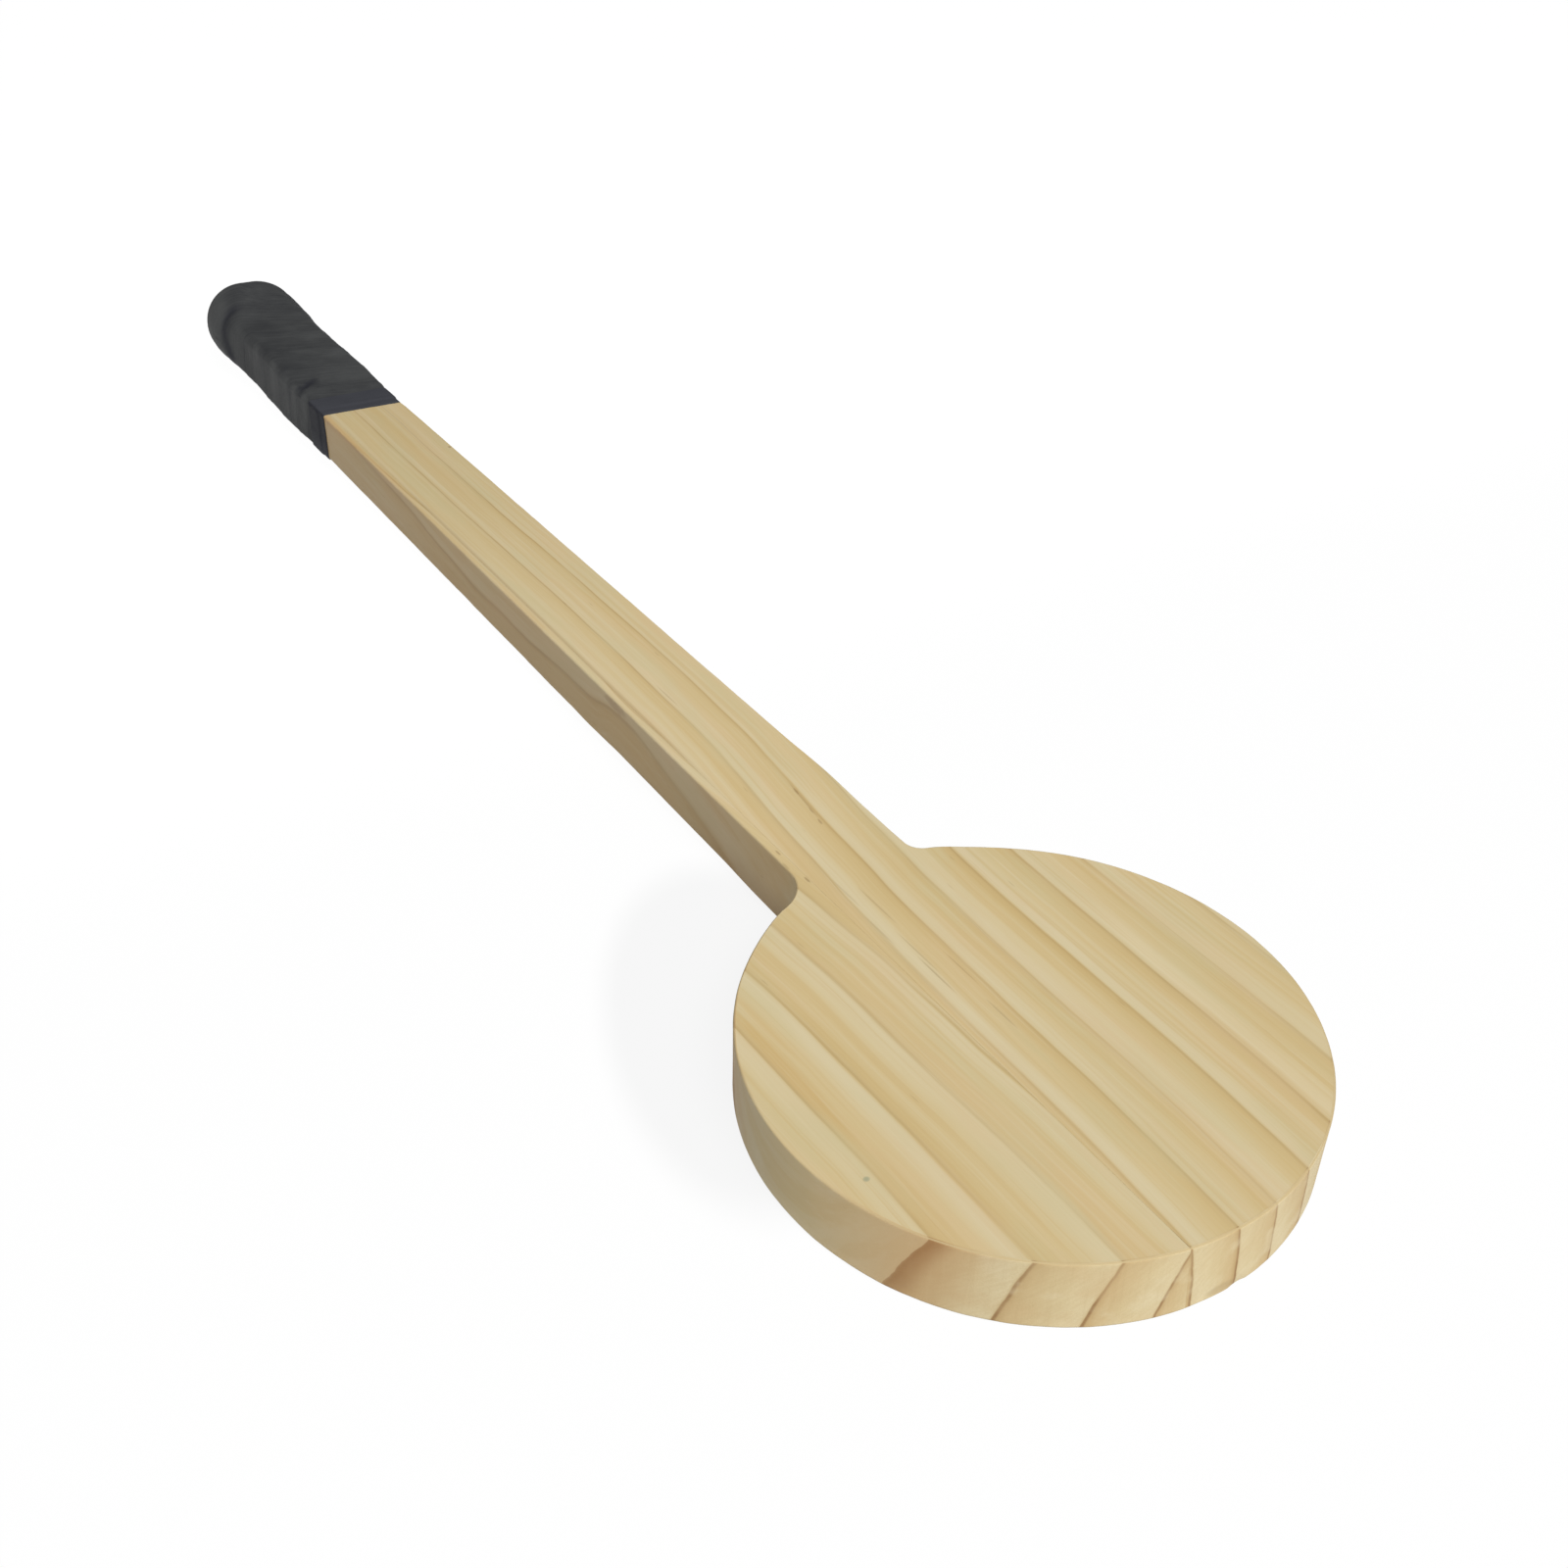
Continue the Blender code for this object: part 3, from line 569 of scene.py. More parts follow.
def stave(name, side, mat):
    path, nrm, s = stave_path(side)
    k = len(path)
    soft = np.array([0.42 + 0.12 * n1(v / 9.0, 11 + side) + 0.05 * n1(v / 2.3, 13) for v in s])
    soft_low = np.array([0.80 + 0.18 * n1(v / 8.0, 17 + side) + 0.07 * n1(v / 2.1, 19) for v in s])
    yp = path[:, 1]
    if side > 0:
        soft = soft - 0.25 * smooth(70, 110, yp)
    else:
        soft_low = soft_low + 0.75 * smooth(82, 100, yp) * (1 - smooth(150, 172, yp))
        soft = soft + 0.25 * smooth(60, 100, yp)
    ramp_cut = np.clip((yp + HEAD_Y - CUT_Y0) / (CUT_Y1 - CUT_Y0), 0, 1)
    hair = 0.006                 # half of the hairline between the two staves
    groove = 0.03                # eased arris along it
    y_far = path[0][1]
    y_end = path[-1][1]
    m = int((y_end - y_far) / 3.0)

    # levels: (z from the face, share of the arris radius), bottom to top
    arc = [math.radians(a) for a in (90, 72, 54, 36, 18, 0)]
    levels = [("bot", 0.0, 1.0, 0.16)]
    levels += [("bot", 1 - math.sin(a), 1 - math.cos(a), 0.0) for a in arc]
    levels += [("wall", f, 0.0, 0.0) for f in (0.06, 0.17, 0.28, 0.39, 0.50, 0.61, 0.72, 0.83, 0.94)]
    levels += [("top", 1 - math.sin(a), 1 - math.cos(a), 0.0) for a in reversed(arc)]
    levels += [("top", 0.0, 1.0, 0.16)]

    verts, endg, arris, rings = [], [], [], []
    for kind, dz, share, extra in levels:
        r = soft if kind == "top" else soft_low
        ring = []
        if kind == "wall":
            z = Z_BOT + T * dz + np.zeros(k)
            inset = np.zeros(k)
            # barely hollow or full here and there, as a sanded wall is
            inset = inset + np.array([0.03 * n2(v / 12.0, dz * 3.0, 23) for v in s]) + 0.02
            zc = Z_BOT + T * dz
            gi = 0.0
        elif kind == "top":
            z = Z_TOP - r * dz
            inset = r * share + extra
            zc = Z_TOP - groove * dz
            gi = groove * share + extra * 0.5
        else:
            z = Z_BOT + r * dz
            inset = r * share + extra
            zc = Z_BOT + groove * dz
            gi = groove * share + extra * 0.5
        if side > 0:
            inset = inset + np.maximum(0.0, CUT * ramp_cut - np.minimum(z - Z_BOT, Z_TOP - z))
        xy = path - nrm * inset[:, None]
        for i in range(k):
            tz = (z[i] - Z_BOT) / T
            xj = JOINT_BOT + (JOINT_TOP - JOINT_BOT) * tz + side * (hair + gi)
            px, py = xy[i]
            if i == 0 or (i < 6 and side * (px - xj) < 0.15 * i):
                px = xj + side * 0.25 * i
                py = -math.sqrt(max((HEAD_R - inset[i] - 0.05) ** 2 - px ** 2, 0))
            ring.append((px, py + HEAD_Y, z[i]))
            endg.append(abs(nrm[i][1]) if kind == "wall" or extra == 0 else 0.0)
            arris.append(1.0 if kind != "wall" and 0.05 < share < 0.95 and yp[i] < 384 else 0.0)
        tz = (zc - Z_BOT) / T
        xj = JOINT_BOT + (JOINT_TOP - JOINT_BOT) * tz + side * (hair + gi)
        y_hi = ring[-1][1]
        y_lo = ring[0][1]
        for j in range(0, m):
            yy = y_hi + (y_lo - y_hi) * j / m
            cut = CUT * min(max((yy - CUT_Y0) / (CUT_Y1 - CUT_Y0), 0.0), 1.0) if side > 0 else 0.0
            cut = cut - min(zc - Z_BOT, Z_TOP - zc)
            ring.append((max(xj, cut - SHAFT_W / 2) if cut > 0 else xj, yy, zc))
            endg.append(0.0)
            arris.append(0.0)
        base = len(verts)
        verts += ring
        rings.append(list(range(base, base + len(ring))))

    faces = []
    for a, b in zip(rings, rings[1:]):
        q = len(a)
        for i in range(q):
            j = (i + 1) % q
            faces.append((a[i], a[j], b[j], b[i]))
    faces.append(tuple(reversed(rings[0])))
    faces.append(tuple(rings[-1]))

    v = np.array(verts)
    # a small chip on the lower edge of the near rim
    if side > 0:
        d = np.sqrt(((v[:, 0] - 1.2) / 2.6) ** 2 + ((v[:, 1] - (HEAD_Y - 59.9)) / 2.0) ** 2
                    + ((v[:, 2] - Z_BOT) / 1.3) ** 2)
        push = 0.45 * np.clip(1 - d, 0, 1)
        v[:, 1] += push
        v[:, 2] += push * 0.6
    ob = mesh_piece(name, v, faces, mat, sharp=40.0, weld=0.0,
                    attrs={"end_grain": endg, "arris": arris}, tri_ngons=True)
    return ob


# -------------------------------------------------------------------- the grip
NC, NX, NZ = 15, 36, 20      # segments per corner, per wide side, per narrow side


def ring_xz(a, h, r):
    """Rounded rectangle, half sizes a and h: points and normals, starting in
    the middle of the left side and going up and over to the right."""
    r = max(min(r, a - 0.01, h - 0.01), 0.01)
    p, q = [], []

    def corner(cx, cz, a0):
        for i in range(NC):
            t = math.radians(a0 - 90.0 * i / NC)
            p.append((cx + r * math.cos(t), cz + r * math.sin(t)))
            q.append((math.cos(t), math.sin(t)))

    def line(x0, z0, x1, z1, n, nx, nz):
        for i in range(n):
            f = i / n
            p.append((x0 + (x1 - x0) * f, z0 + (z1 - z0) * f))
            q.append((nx, nz))

    line(-a, 0, -a, h - r, NZ // 2, -1, 0)
    corner(-a + r, h - r, 180)
    line(-a + r, h, a - r, h, NX, 0, 1)
    corner(a - r, h - r, 90)
    line(a, h - r, a, -(h - r), NZ, 1, 0)
    corner(a - r, -h + r, 0)
    line(a - r, -h, -a + r, -h, NX, 0, -1)
    corner(-a + r, -h + r, -90)
    line(-a, -(h - r), -a, 0, NZ // 2, -1, 0)
    return np.array(p), np.array(q)


NS = len(ring_xz(15.0, 9.0, 2.0)[0])
_p = ring_xz(15.75, 9.55, 2.0)[0]
_d = np.linalg.norm(np.diff(np.vstack([_p, _p[:1]]), axis=0), axis=1)
S_FRAC = np.r_[0, np.cumsum(_d)[:-1]] / _d.sum()
PERIM = float(_d.sum())


def stations(column):
    """Smooth curve through a column of the stations, as a fine table."""
    xs = np.array([-s[0] for s in STATIONS])
    vs = np.array([s[column] for s in STATIONS])
    d = np.diff(vs) / np.diff(xs)
    m = [0.0]
    for p, q in zip(d, d[1:]):
        m.append(2 * p * q / (p + q) if p * q > 0 else 0.0)
    m = np.array(m + [d[-1] * 0.5])
    X = np.linspace(xs[0], xs[-1], 600)
    i = np.clip(np.searchsorted(xs, X, side='right') - 1, 0, len(d) - 1)
    w = xs[i + 1] - xs[i]
    t = (X - xs[i]) / w
    Y = ((2 * t ** 3 - 3 * t ** 2 + 1) * vs[i] + (t ** 3 - 2 * t ** 2 + t) * w * m[i]
         + (3 * t ** 2 - 2 * t ** 3) * vs[i + 1] + (t ** 3 - t ** 2) * w * m[i + 1])
    return X, Y


TAB_X, TAB_A = stations(1)
TAB_H = stations(2)[1]
TAB_R = stations(3)[1]
TAB_C = stations(4)[1]


def clear(y):
    """0 where the tape lies flat under the band, 1 where it is free of it."""
    return float(smooth(Y_BAND + BAND_W - 0.4, Y_BAND + BAND_W + 4.6, y))


def half_width(y):
    k = clear(y)
    return float(np.interp(y - Y_BUTT, TAB_X, TAB_A)) * k + (SHAFT_W / 2 + 0.30) * (1 - k)


def half_height(y):
    k = clear(y)
    return float(np.interp(y - Y_BUTT, TAB_X, TAB_H)) * k + (T / 2 + 0.30) * (1 - k)


def corner_r(y):
    k = clear(y)
    return float(np.interp(y - Y_BUTT, TAB_X, TAB_R)) * k + 1.1 * (1 - k)


def centre(y):
    return (float(np.interp(y - Y_BUTT, TAB_X, TAB_C)) * clear(y),
            KNOB_RISE * float(smooth(-60, -15, y - Y_BUTT)))


def base_ring(y, inset, dome=0.0):
    """Points (x, y, z) and normals of the wrapped handle's section."""
    if dome > 0:
        drop = (DOME_R - inset) * (1 - math.cos(dome))
        yy = Y_DOME + (DOME_R - inset) * math.sin(dome)
        k = inset + drop
        a, h, r = half_width(Y_DOME) - k, half_height(Y_DOME) - k, corner_r(Y_DOME) - 0.5 * k
        p, q = ring_xz(a, h, r)
        c, s = math.cos(dome), math.sin(dome)
        return (np.c_[p[:, 0] + KNOB_SIDE, np.full(len(p), yy), Z_MID + KNOB_RISE + p[:, 1]],
                np.c_[q[:, 0] * c, np.full(len(p), s), q[:, 1] * c])
    p, q = ring_xz(half_width(y) - inset, half_height(y) - inset, corner_r(y) - 0.5 * inset)
    cx, cz = centre(y)
    return (np.c_[p[:, 0] + cx, np.full(len(p), y), Z_MID + cz + p[:, 1]],
            np.c_[q[:, 0], np.zeros(len(p)), q[:, 1]])


# laps of the winding, as they cross the middle of the left side
SEAM_Y = [116.0, 137.0, 158.0, 178.0, 199.0, 221.0, 247.0, 275.0, 303.0, 331.0, 360.0]
SEAM_N = list(range(-2, 9))


def seam_y(n):
    return np.interp(n, SEAM_N, SEAM_Y)


def tape_grid_rows():
    one = [0.0, 0.006, 0.012, 0.02, 0.032, 0.05, 0.075]
    u = 0.10
    while u < 0.945:
        one.append(u)
        u += 0.0245
    one += [0.955, 0.968, 0.979, 0.988, 0.995]
    return one


def fold_mark(x, y, ax, ay, bx, by, width):
    """Closeness to the segment a-b in plan: 1 on it, fading over width."""
    d = np.array([bx - ax, by - ay], float)
    L = float(d @ d)
    t = np.clip(((x - ax) * d[0] + (y - ay) * d[1]) / L, 0, 1)
    dist = np.hypot(x - ax - t * d[0], y - ay - t * d[1])
    taper = np.sin(np.pi * np.clip(0.15 + 0.7 * t, 0, 1))
    return np.exp(-(dist / width) ** 2) * taper


# the pinch where the wrap turns in round the knob's neck, on the left side
NECK_LINE = [(-15.6, 259.8, 6.0), (-16.6, 262.4, 11.0), (-17.1, 263.8, 14.1), (-17.3, 265.3, 17.5),
             (-17.2, 266.0, 20.5), (-16.6, 267.6, 23.4), (-14.6, 269.6, 25.6), (-11.3, 272.3, 27.8),
             (-7.6, 275.8, 29.6)]


def line_mark(pts, line, width):
    """Closeness to a polyline in space, fading towards both of its ends."""
    best = np.full(len(pts), 1e9)
    where = np.zeros(len(pts))
    L = np.array(line)
    run = 0.0
    total = float(np.linalg.norm(np.diff(L, axis=0), axis=1).sum())
    for a, b in zip(L, L[1:]):
        v = b - a
        n = float(np.linalg.norm(v))
        t = np.clip((pts - a) @ v / (n * n), 0, 1)
        dist = np.linalg.norm(pts - a - t[:, None] * v, axis=1)
        near = dist < best
        best = np.where(near, dist, best)
        where = np.where(near, (run + t * n) / total, where)
        run += n
    ends = smooth(0.0, 0.18, where) * (1 - smooth(0.80, 1.0, where))
    return np.exp(-(best / width) ** 2) * ends


def overgrip(mat):
    y0 = Y_BAND + 6.0
    y1 = Y_DOME
    us = tape_grid_rows()
    nu = len(us)
    # the grid's rows follow the winding: y = seam(psi - s)
    rows = [t + u for t in range(-2, 8) for u in us]
    verts, wind, lay, painted_light_and_wear, painted_shade = [], [], [], [], []
    lift = 0.11
    grid = []
    for i, psi0 in enumerate(rows):
        row = []
        for j in range(NS):
            s = S_FRAC[j]
            yy = float(seam_y(psi0 - s))
            wob = 0.35 * n2(s * 5.0 + math.floor(psi0) * 3.7, psi0 * 0.9, 31)
            yy += wob
            row.append(min(max(yy, y0), y1))
        grid.append(row)
    grid = np.array(grid)

    out = []
    for i, psi0 in enumerate(rows):
        pr, mid = np.zeros((NS, 3)), np.zeros((NS, 2))
        u = psi0 - math.floor(psi0)
        over = float(smooth(0.60, 0.76, u))
        # soft lip just before the edge, and a shallow trough beyond it
        prof = lift * over + 0.04 * math.exp(-((u - 0.955) / 0.035) ** 2) - 0.07 * math.exp(-(u / 0.035) ** 2)
        for j in range(NS):
            y = grid[i, j]
            s = S_FRAC[j]
            a, h, r = half_width(y), half_height(y), corner_r(y)
            pr[j] = (a, h, r)
            mid[j] = centre(y)
        out.append((u, prof, pr, mid))

    # vectorised sections: unit pieces of the rounded rectangle per column
    cols = unit_columns()
    count = len(rows) * NS
    V = np.zeros((len(rows), NS, 3))
    for i, (u, prof, pr, mid) in enumerate(out):
        a, h, r = pr[:, 0], pr[:, 1], pr[:, 2]
        x, z, nx, nz = section_columns(cols, a, h, r)
        y = grid[i]
        fade = smooth(y0 + 11, y0 + 18, y)
        fade = fade * (1 - 0.45 * smooth(Y_BUTT - 24, Y_DOME, y))
        d = prof * fade
        nn = np.array([n2(S_FRAC[j] * PERIM / 9.0 + 11.0, y[j] / 3.4 + S_FRAC[j] * 6.0, 41) for j in range(NS)])
        n3 = np.array([n2(S_FRAC[j] * PERIM / 22.0, y[j] / 1.5 + S_FRAC[j] * 14.0, 43) for j in range(NS)])
        n4 = np.array([n2(S_FRAC[j] * PERIM / 3.2, y[j] / 6.0 + S_FRAC[j] * 3.0, 45) for j in range(NS)])
        d = d + (0.045 * nn + 0.03 * n3 + 0.02 * n4) * (0.3 + 0.7 * smooth(y0 + 9, y0 + 13, y))
        cr = np.zeros(NS)
        # the pinched turn at the knob's neck, with painted shade along it
        sl = np.where(S_FRAC > 0.5, S_FRAC - 1.0, S_FRAC)      # from the left side's middle, up
        here = np.c_[x + mid[:, 0], y, Z_MID + z + mid[:, 1]]
        g = line_mark(here, NECK_LINE, 3.0)
        d = d - 0.26 * g
        leftish = smooth(0.30, 0.75, -nx)
        calm = 1 - 0.75 * smooth(Y_BUTT - 50, Y_BUTT - 34, y)   # the knob itself is taut
        cr = np.maximum(cr, g)
        # a short fold on the ridge above the left side, with painted shade in it
        top = (nz > 0.3)
        f = fold_mark(x, y, -15.6, 172.8, -6.6, 182.4, 1.5) * top
        f = np.maximum(f, np.exp(-(np.hypot(x + 9.4, y - 179.3) / 2.1) ** 2) * top)
        f2 = fold_mark(x, y, -13.4, 170.6, -5.0, 181.6, 1.3) * top
        d = d - 0.34 * f + 0.14 * f2
        cr = np.maximum(cr, f)
        # beyond it the lap stands up a little and is rubbed paler
        flat = smooth(0.55, 0.9, nz)
        lap = smooth(-7.2, -4.6, x) * (1 - 0.55 * smooth(2.0, 11.0, x))
        lap = lap * smooth(173.5, 177.5, y) * (1 - smooth(182.5, 187.0, y)) * flat
        d = d + 0.10 * lap
        # painted shade along each lap's edge, strongest on the left side
        edge = math.exp(-(u / 0.03) ** 2) + 0.6 * math.exp(-((u - 1.0) / 0.03) ** 2)
        cr = np.maximum(cr, np.minimum(edge, 1.0) * (0.16 + 0.55 * leftish) * calm)
        # each lap's edge is tucked where it turns over the arris, with painted shade in the tuck
        tuck = np.exp(-((sl - 0.105) / 0.022) ** 2) * math.exp(-((u - 0.05) / 0.09) ** 2)
        tuck = tuck * calm * (1 - 0.75 * smooth(184.0, 196.0, y))
        cr = np.maximum(cr, 0.75 * tuck)
        d = d - 0.10 * tuck
        V[i, :, 0] = x + nx * d + mid[:, 0]
        V[i, :, 1] = y
        V[i, :, 2] = Z_MID + z + nz * d + mid[:, 1]
        wind.append((S_FRAC - math.floor(rows[i])) * PERIM)
        lay.append(np.full(NS, u * 21.5))
        # painted highlights: a pale strip across each lap, on the top and the left side
        strip = float(smooth(0.30, 0.62, u) * (1 - smooth(0.86, 0.97, u)))
        # near the band the laps are half hidden by the next, so the left side
        # shows twice as many narrow strips there
        tight = 1 - smooth(196.0, 203.0, y)
        two = min(1.0, math.exp(-((u - 0.62) / 0.17) ** 2) + math.exp(-((u - 0.14) / 0.15) ** 2)
                  + math.exp(-((u - 1.14) / 0.15) ** 2))
        single = math.exp(-((u - 0.42) / 0.26) ** 2) * (0.62 - 0.22 * smooth(214.0, 226.0, y))
        side_rg = 0.15 + 0.08 * smooth(236.0, 246.0, y) + 0.68 * two * tight + single * (1 - tight)
        rg = ((1 - leftish) * strip * 0.22 + leftish * side_rg) * calm
        # a thin painted shade line inside the left side's strips
        cr = np.maximum(cr, 0.30 * leftish * tight * math.exp(-((u - 0.40) / 0.05) ** 2))
        # painted light: the upper side is lighter towards the right and darker towards the left
        side_on = flat * (1 - smooth(Y_BUTT - 60, Y_BUTT - 40, y))
        rg = rg + side_on * (0.40 * smooth(-13.0, 11.0, x) * smooth(164.0, 176.0, y) - 0.17) + 0.42 * lap
        # the end's rim catches the light
        rg = rg + 0.8 * smooth(0.25, 0.75, -nx) * smooth(Y_BUTT - 36, Y_BUTT - 26, y)
        painted_light_and_wear.append(rg)
        painted_shade.append(cr)

    verts = V.reshape(-1, 3).tolist()
    wind = list(np.concatenate(wind))
    lay = list(np.concatenate(lay))
    painted_light_and_wear = list(np.concatenate(painted_light_and_wear))
    painted_shade = list(np.concatenate(painted_shade))
    faces = []
    R = len(rows)
    for i in range(R - 1):
        for j in range(NS):
            if j < NS - 1:
                f = [(i, j), (i, j + 1), (i + 1, j + 1), (i + 1, j)]
            else:
                # one turn on: the row's end meets the row a turn before
                if i - nu < 0:
                    continue
                f = [(i, j), (i - nu, 0), (i - nu + 1, 0), (i + 1, j)]
            ys = [grid[a, b] for a, b in f]
            if max(ys) - min(ys) < 1e-9:
                continue
            faces.append(tuple(a * NS + b for a, b in f))

    # rounded end: rings on from the last one
    dome_end = math.radians(62)
    psi_end = float(np.interp(Y_DOME, SEAM_Y, SEAM_N)) + S_FRAC
    last = None
    n_dome = 26
    for i in range(0, n_dome + 1):
        ang = dome_end * i / n_dome
        p, q = base_ring(Y_DOME, 0.0, max(ang, 1e-6))
        yy = np.full(NS, Y_DOME + ang * DOME_R)
        nn = np.array([n2(S_FRAC[j] * PERIM / 9.0 + 11.0, yy[j] / 3.4 + S_FRAC[j] * 6.0, 41) for j in range(NS)])
        n3 = np.array([n2(S_FRAC[j] * PERIM / 22.0, yy[j] / 1.5 + S_FRAC[j] * 14.0, 43) for j in range(NS)])
        # gathers where the tape is pulled in over the end
        k = ang / dome_end
        pleat = np.array([n1(S_FRAC[j] * 34.0, 47) for j in range(NS)])
        pleat = np.abs(pleat) ** 0.7 * -0.45 * k * k
        d = (0.045 * nn + 0.03 * n3) * (1 - 0.5 * k) + pleat - 0.02
        if i == 0:
            continue
        v = p + q * d[:, None]
        v[:, 1] = np.minimum(v[:, 1], Y_BUTT - 0.2)
        base = len(verts)
        verts += v.tolist()
        wind += list((S_FRAC - np.floor(psi_end)) * PERIM)
        lay += list((psi_end - np.floor(psi_end)) * 21.5 + ang * DOME_R)
        sl = np.where(S_FRAC > 0.5, S_FRAC - 1.0, S_FRAC)
        # painted highlight on the end's rim, fading over the dome, and painted shade in the gathers
        painted_light_and_wear += list(0.8 * smooth(0.25, 0.75, -q[:, 0]) * (1 - k))
        painted_shade += list(np.clip(-pleat * 1.3, 0, 1))
        cur = list(range(base, base + NS))
        if last is None:
            first_dome = cur
        else:
            for j in range(NS):
                jj = (j + 1) % NS
                faces.append((last[j], last[jj], cur[jj], cur[j]))
        last = cur
    # join the straight part to the dome: the clamped points at y1, in order
    end_ring = []
    for j in range(NS):
        i = int(np.argmax(grid[:, j] >= y1 - 1e-9))
        end_ring.append(i * NS + j)
    start_ring = []
    for j in range(NS):
        i = int(np.max(np.nonzero(grid[:, j] <= y0 + 1e-9)[0]))
        start_ring.append(i * NS + j)
    for j in range(NS):
        jj = (j + 1) % NS
        faces.append((end_ring[j], end_ring[jj], first_dome[jj], first_dome[j]))
    # the lip, then back along the inside to the start
    wall = 0.62
    tail = [("dome", dome_end + 0.02, 0.22), ("dome", dome_end + 0.005, 0.5), ("dome", dome_end - 0.06, wall)]
    tail += [("dome", dome_end * f, wall) for f in (0.8, 0.6, 0.4, 0.2)]
    tail += [("y", Y_DOME - dd, wall) for dd in (0, 4, 8, 12, 16, 20, 24, 28, 32)]
    tail += [("wood", yy, 0.0) for yy in (Y_DOME - 38, 220.0, 190.0, y0)]
    for kind, val, inset in tail:
        if kind == "dome":
            p, q = base_ring(Y_DOME, inset, val)
        elif kind == "y":
            p, q = base_ring(val, inset)
        else:
            xz, _ = ring_xz(14.78, 8.58, 0.8)
            p = np.c_[xz[:, 0], np.full(NS, val), Z_MID + xz[:, 1]]
        base = len(verts)
        verts += p.tolist()
        wind += list(S_FRAC * PERIM)
        lay += [150.0] * NS
        painted_light_and_wear += [0.0] * NS
        painted_shade += [0.0] * NS
        cur = list(range(base, base + NS))
        for j in range(NS):
            jj = (j + 1) % NS
            faces.append((last[j], last[jj], cur[jj], cur[j]))
        last = cur
    for j in range(NS):
        jj = (j + 1) % NS
        faces.append((last[j], last[jj], start_ring[jj], start_ring[j]))
    # drop the points that no face uses
    used = np.zeros(len(verts), bool)
    for f in faces:
        for i in f:
            used[i] = True
    new = np.cumsum(used) - 1
    verts = [v for v, u in zip(verts, used) if u]
    pick = lambda seq: [v for v, u in zip(seq, used) if u]
    faces = [tuple(int(new[i]) for i in f) for f in faces]
    return mesh_piece("grip_wrap", verts, faces, mat, sharp=60.0, weld=0.002,
                      attrs={"wind": pick(wind), "lay": pick(lay), "painted_light_and_wear": pick(painted_light_and_wear),
                             "painted_shade": pick(painted_shade)})


def unit_columns():
    """For each column: which part of the rounded rectangle it lies on."""
    cols = []
    for i in range(NZ // 2):
        cols.append(("L", i / (NZ // 2), 0))
    for i in range(NC):
        cols.append(("C", 180 - 90.0 * i / NC, (-1, 1)))
    for i in range(NX):
        cols.append(("T", i / NX, 0))
    for i in range(NC):
        cols.append(("C", 90 - 90.0 * i / NC, (1, 1)))
    for i in range(NZ):
        cols.append(("R", i / NZ, 0))
    for i in range(NC):
        cols.append(("C", 0 - 90.0 * i / NC, (1, -1)))
    for i in range(NX):
        cols.append(("B", i / NX, 0))
    for i in range(NC):
        cols.append(("C", -90 - 90.0 * i / NC, (-1, -1)))
    for i in range(NZ // 2):
        cols.append(("L2", i / (NZ // 2), 0))
    return cols


def section_columns(cols, a, h, r):
    """Each column's point and normal on its own section (a, h, r per column)."""
    x = np.zeros(len(cols)); z = np.zeros(len(cols))
    nx = np.zeros(len(cols)); nz = np.zeros(len(cols))
    for j, (kind, f, c) in enumerate(cols):
        aj, hj, rj = a[j], h[j], min(r[j], h[j] - 0.01)
        if kind == "C":
            t = math.radians(f)
            nx[j], nz[j] = math.cos(t), math.sin(t)
            x[j] = c[0] * (aj - rj) + rj * nx[j]
            z[j] = c[1] * (hj - rj) + rj * nz[j]
        elif kind == "L":
            x[j], z[j], nx[j] = -aj, (hj - rj) * f, -1
        elif kind == "L2":
            x[j], z[j], nx[j] = -aj, -(hj - rj) * (1 - f), -1
        elif kind == "R":
            x[j], z[j], nx[j] = aj, (hj - rj) * (1 - 2 * f), 1
        elif kind == "T":
            x[j], z[j], nz[j] = -(aj - rj) * (1 - 2 * f), hj, 1
        else:
            x[j], z[j], nz[j] = (aj - rj) * (1 - 2 * f), -hj, -1
    return x, z, nx, nz


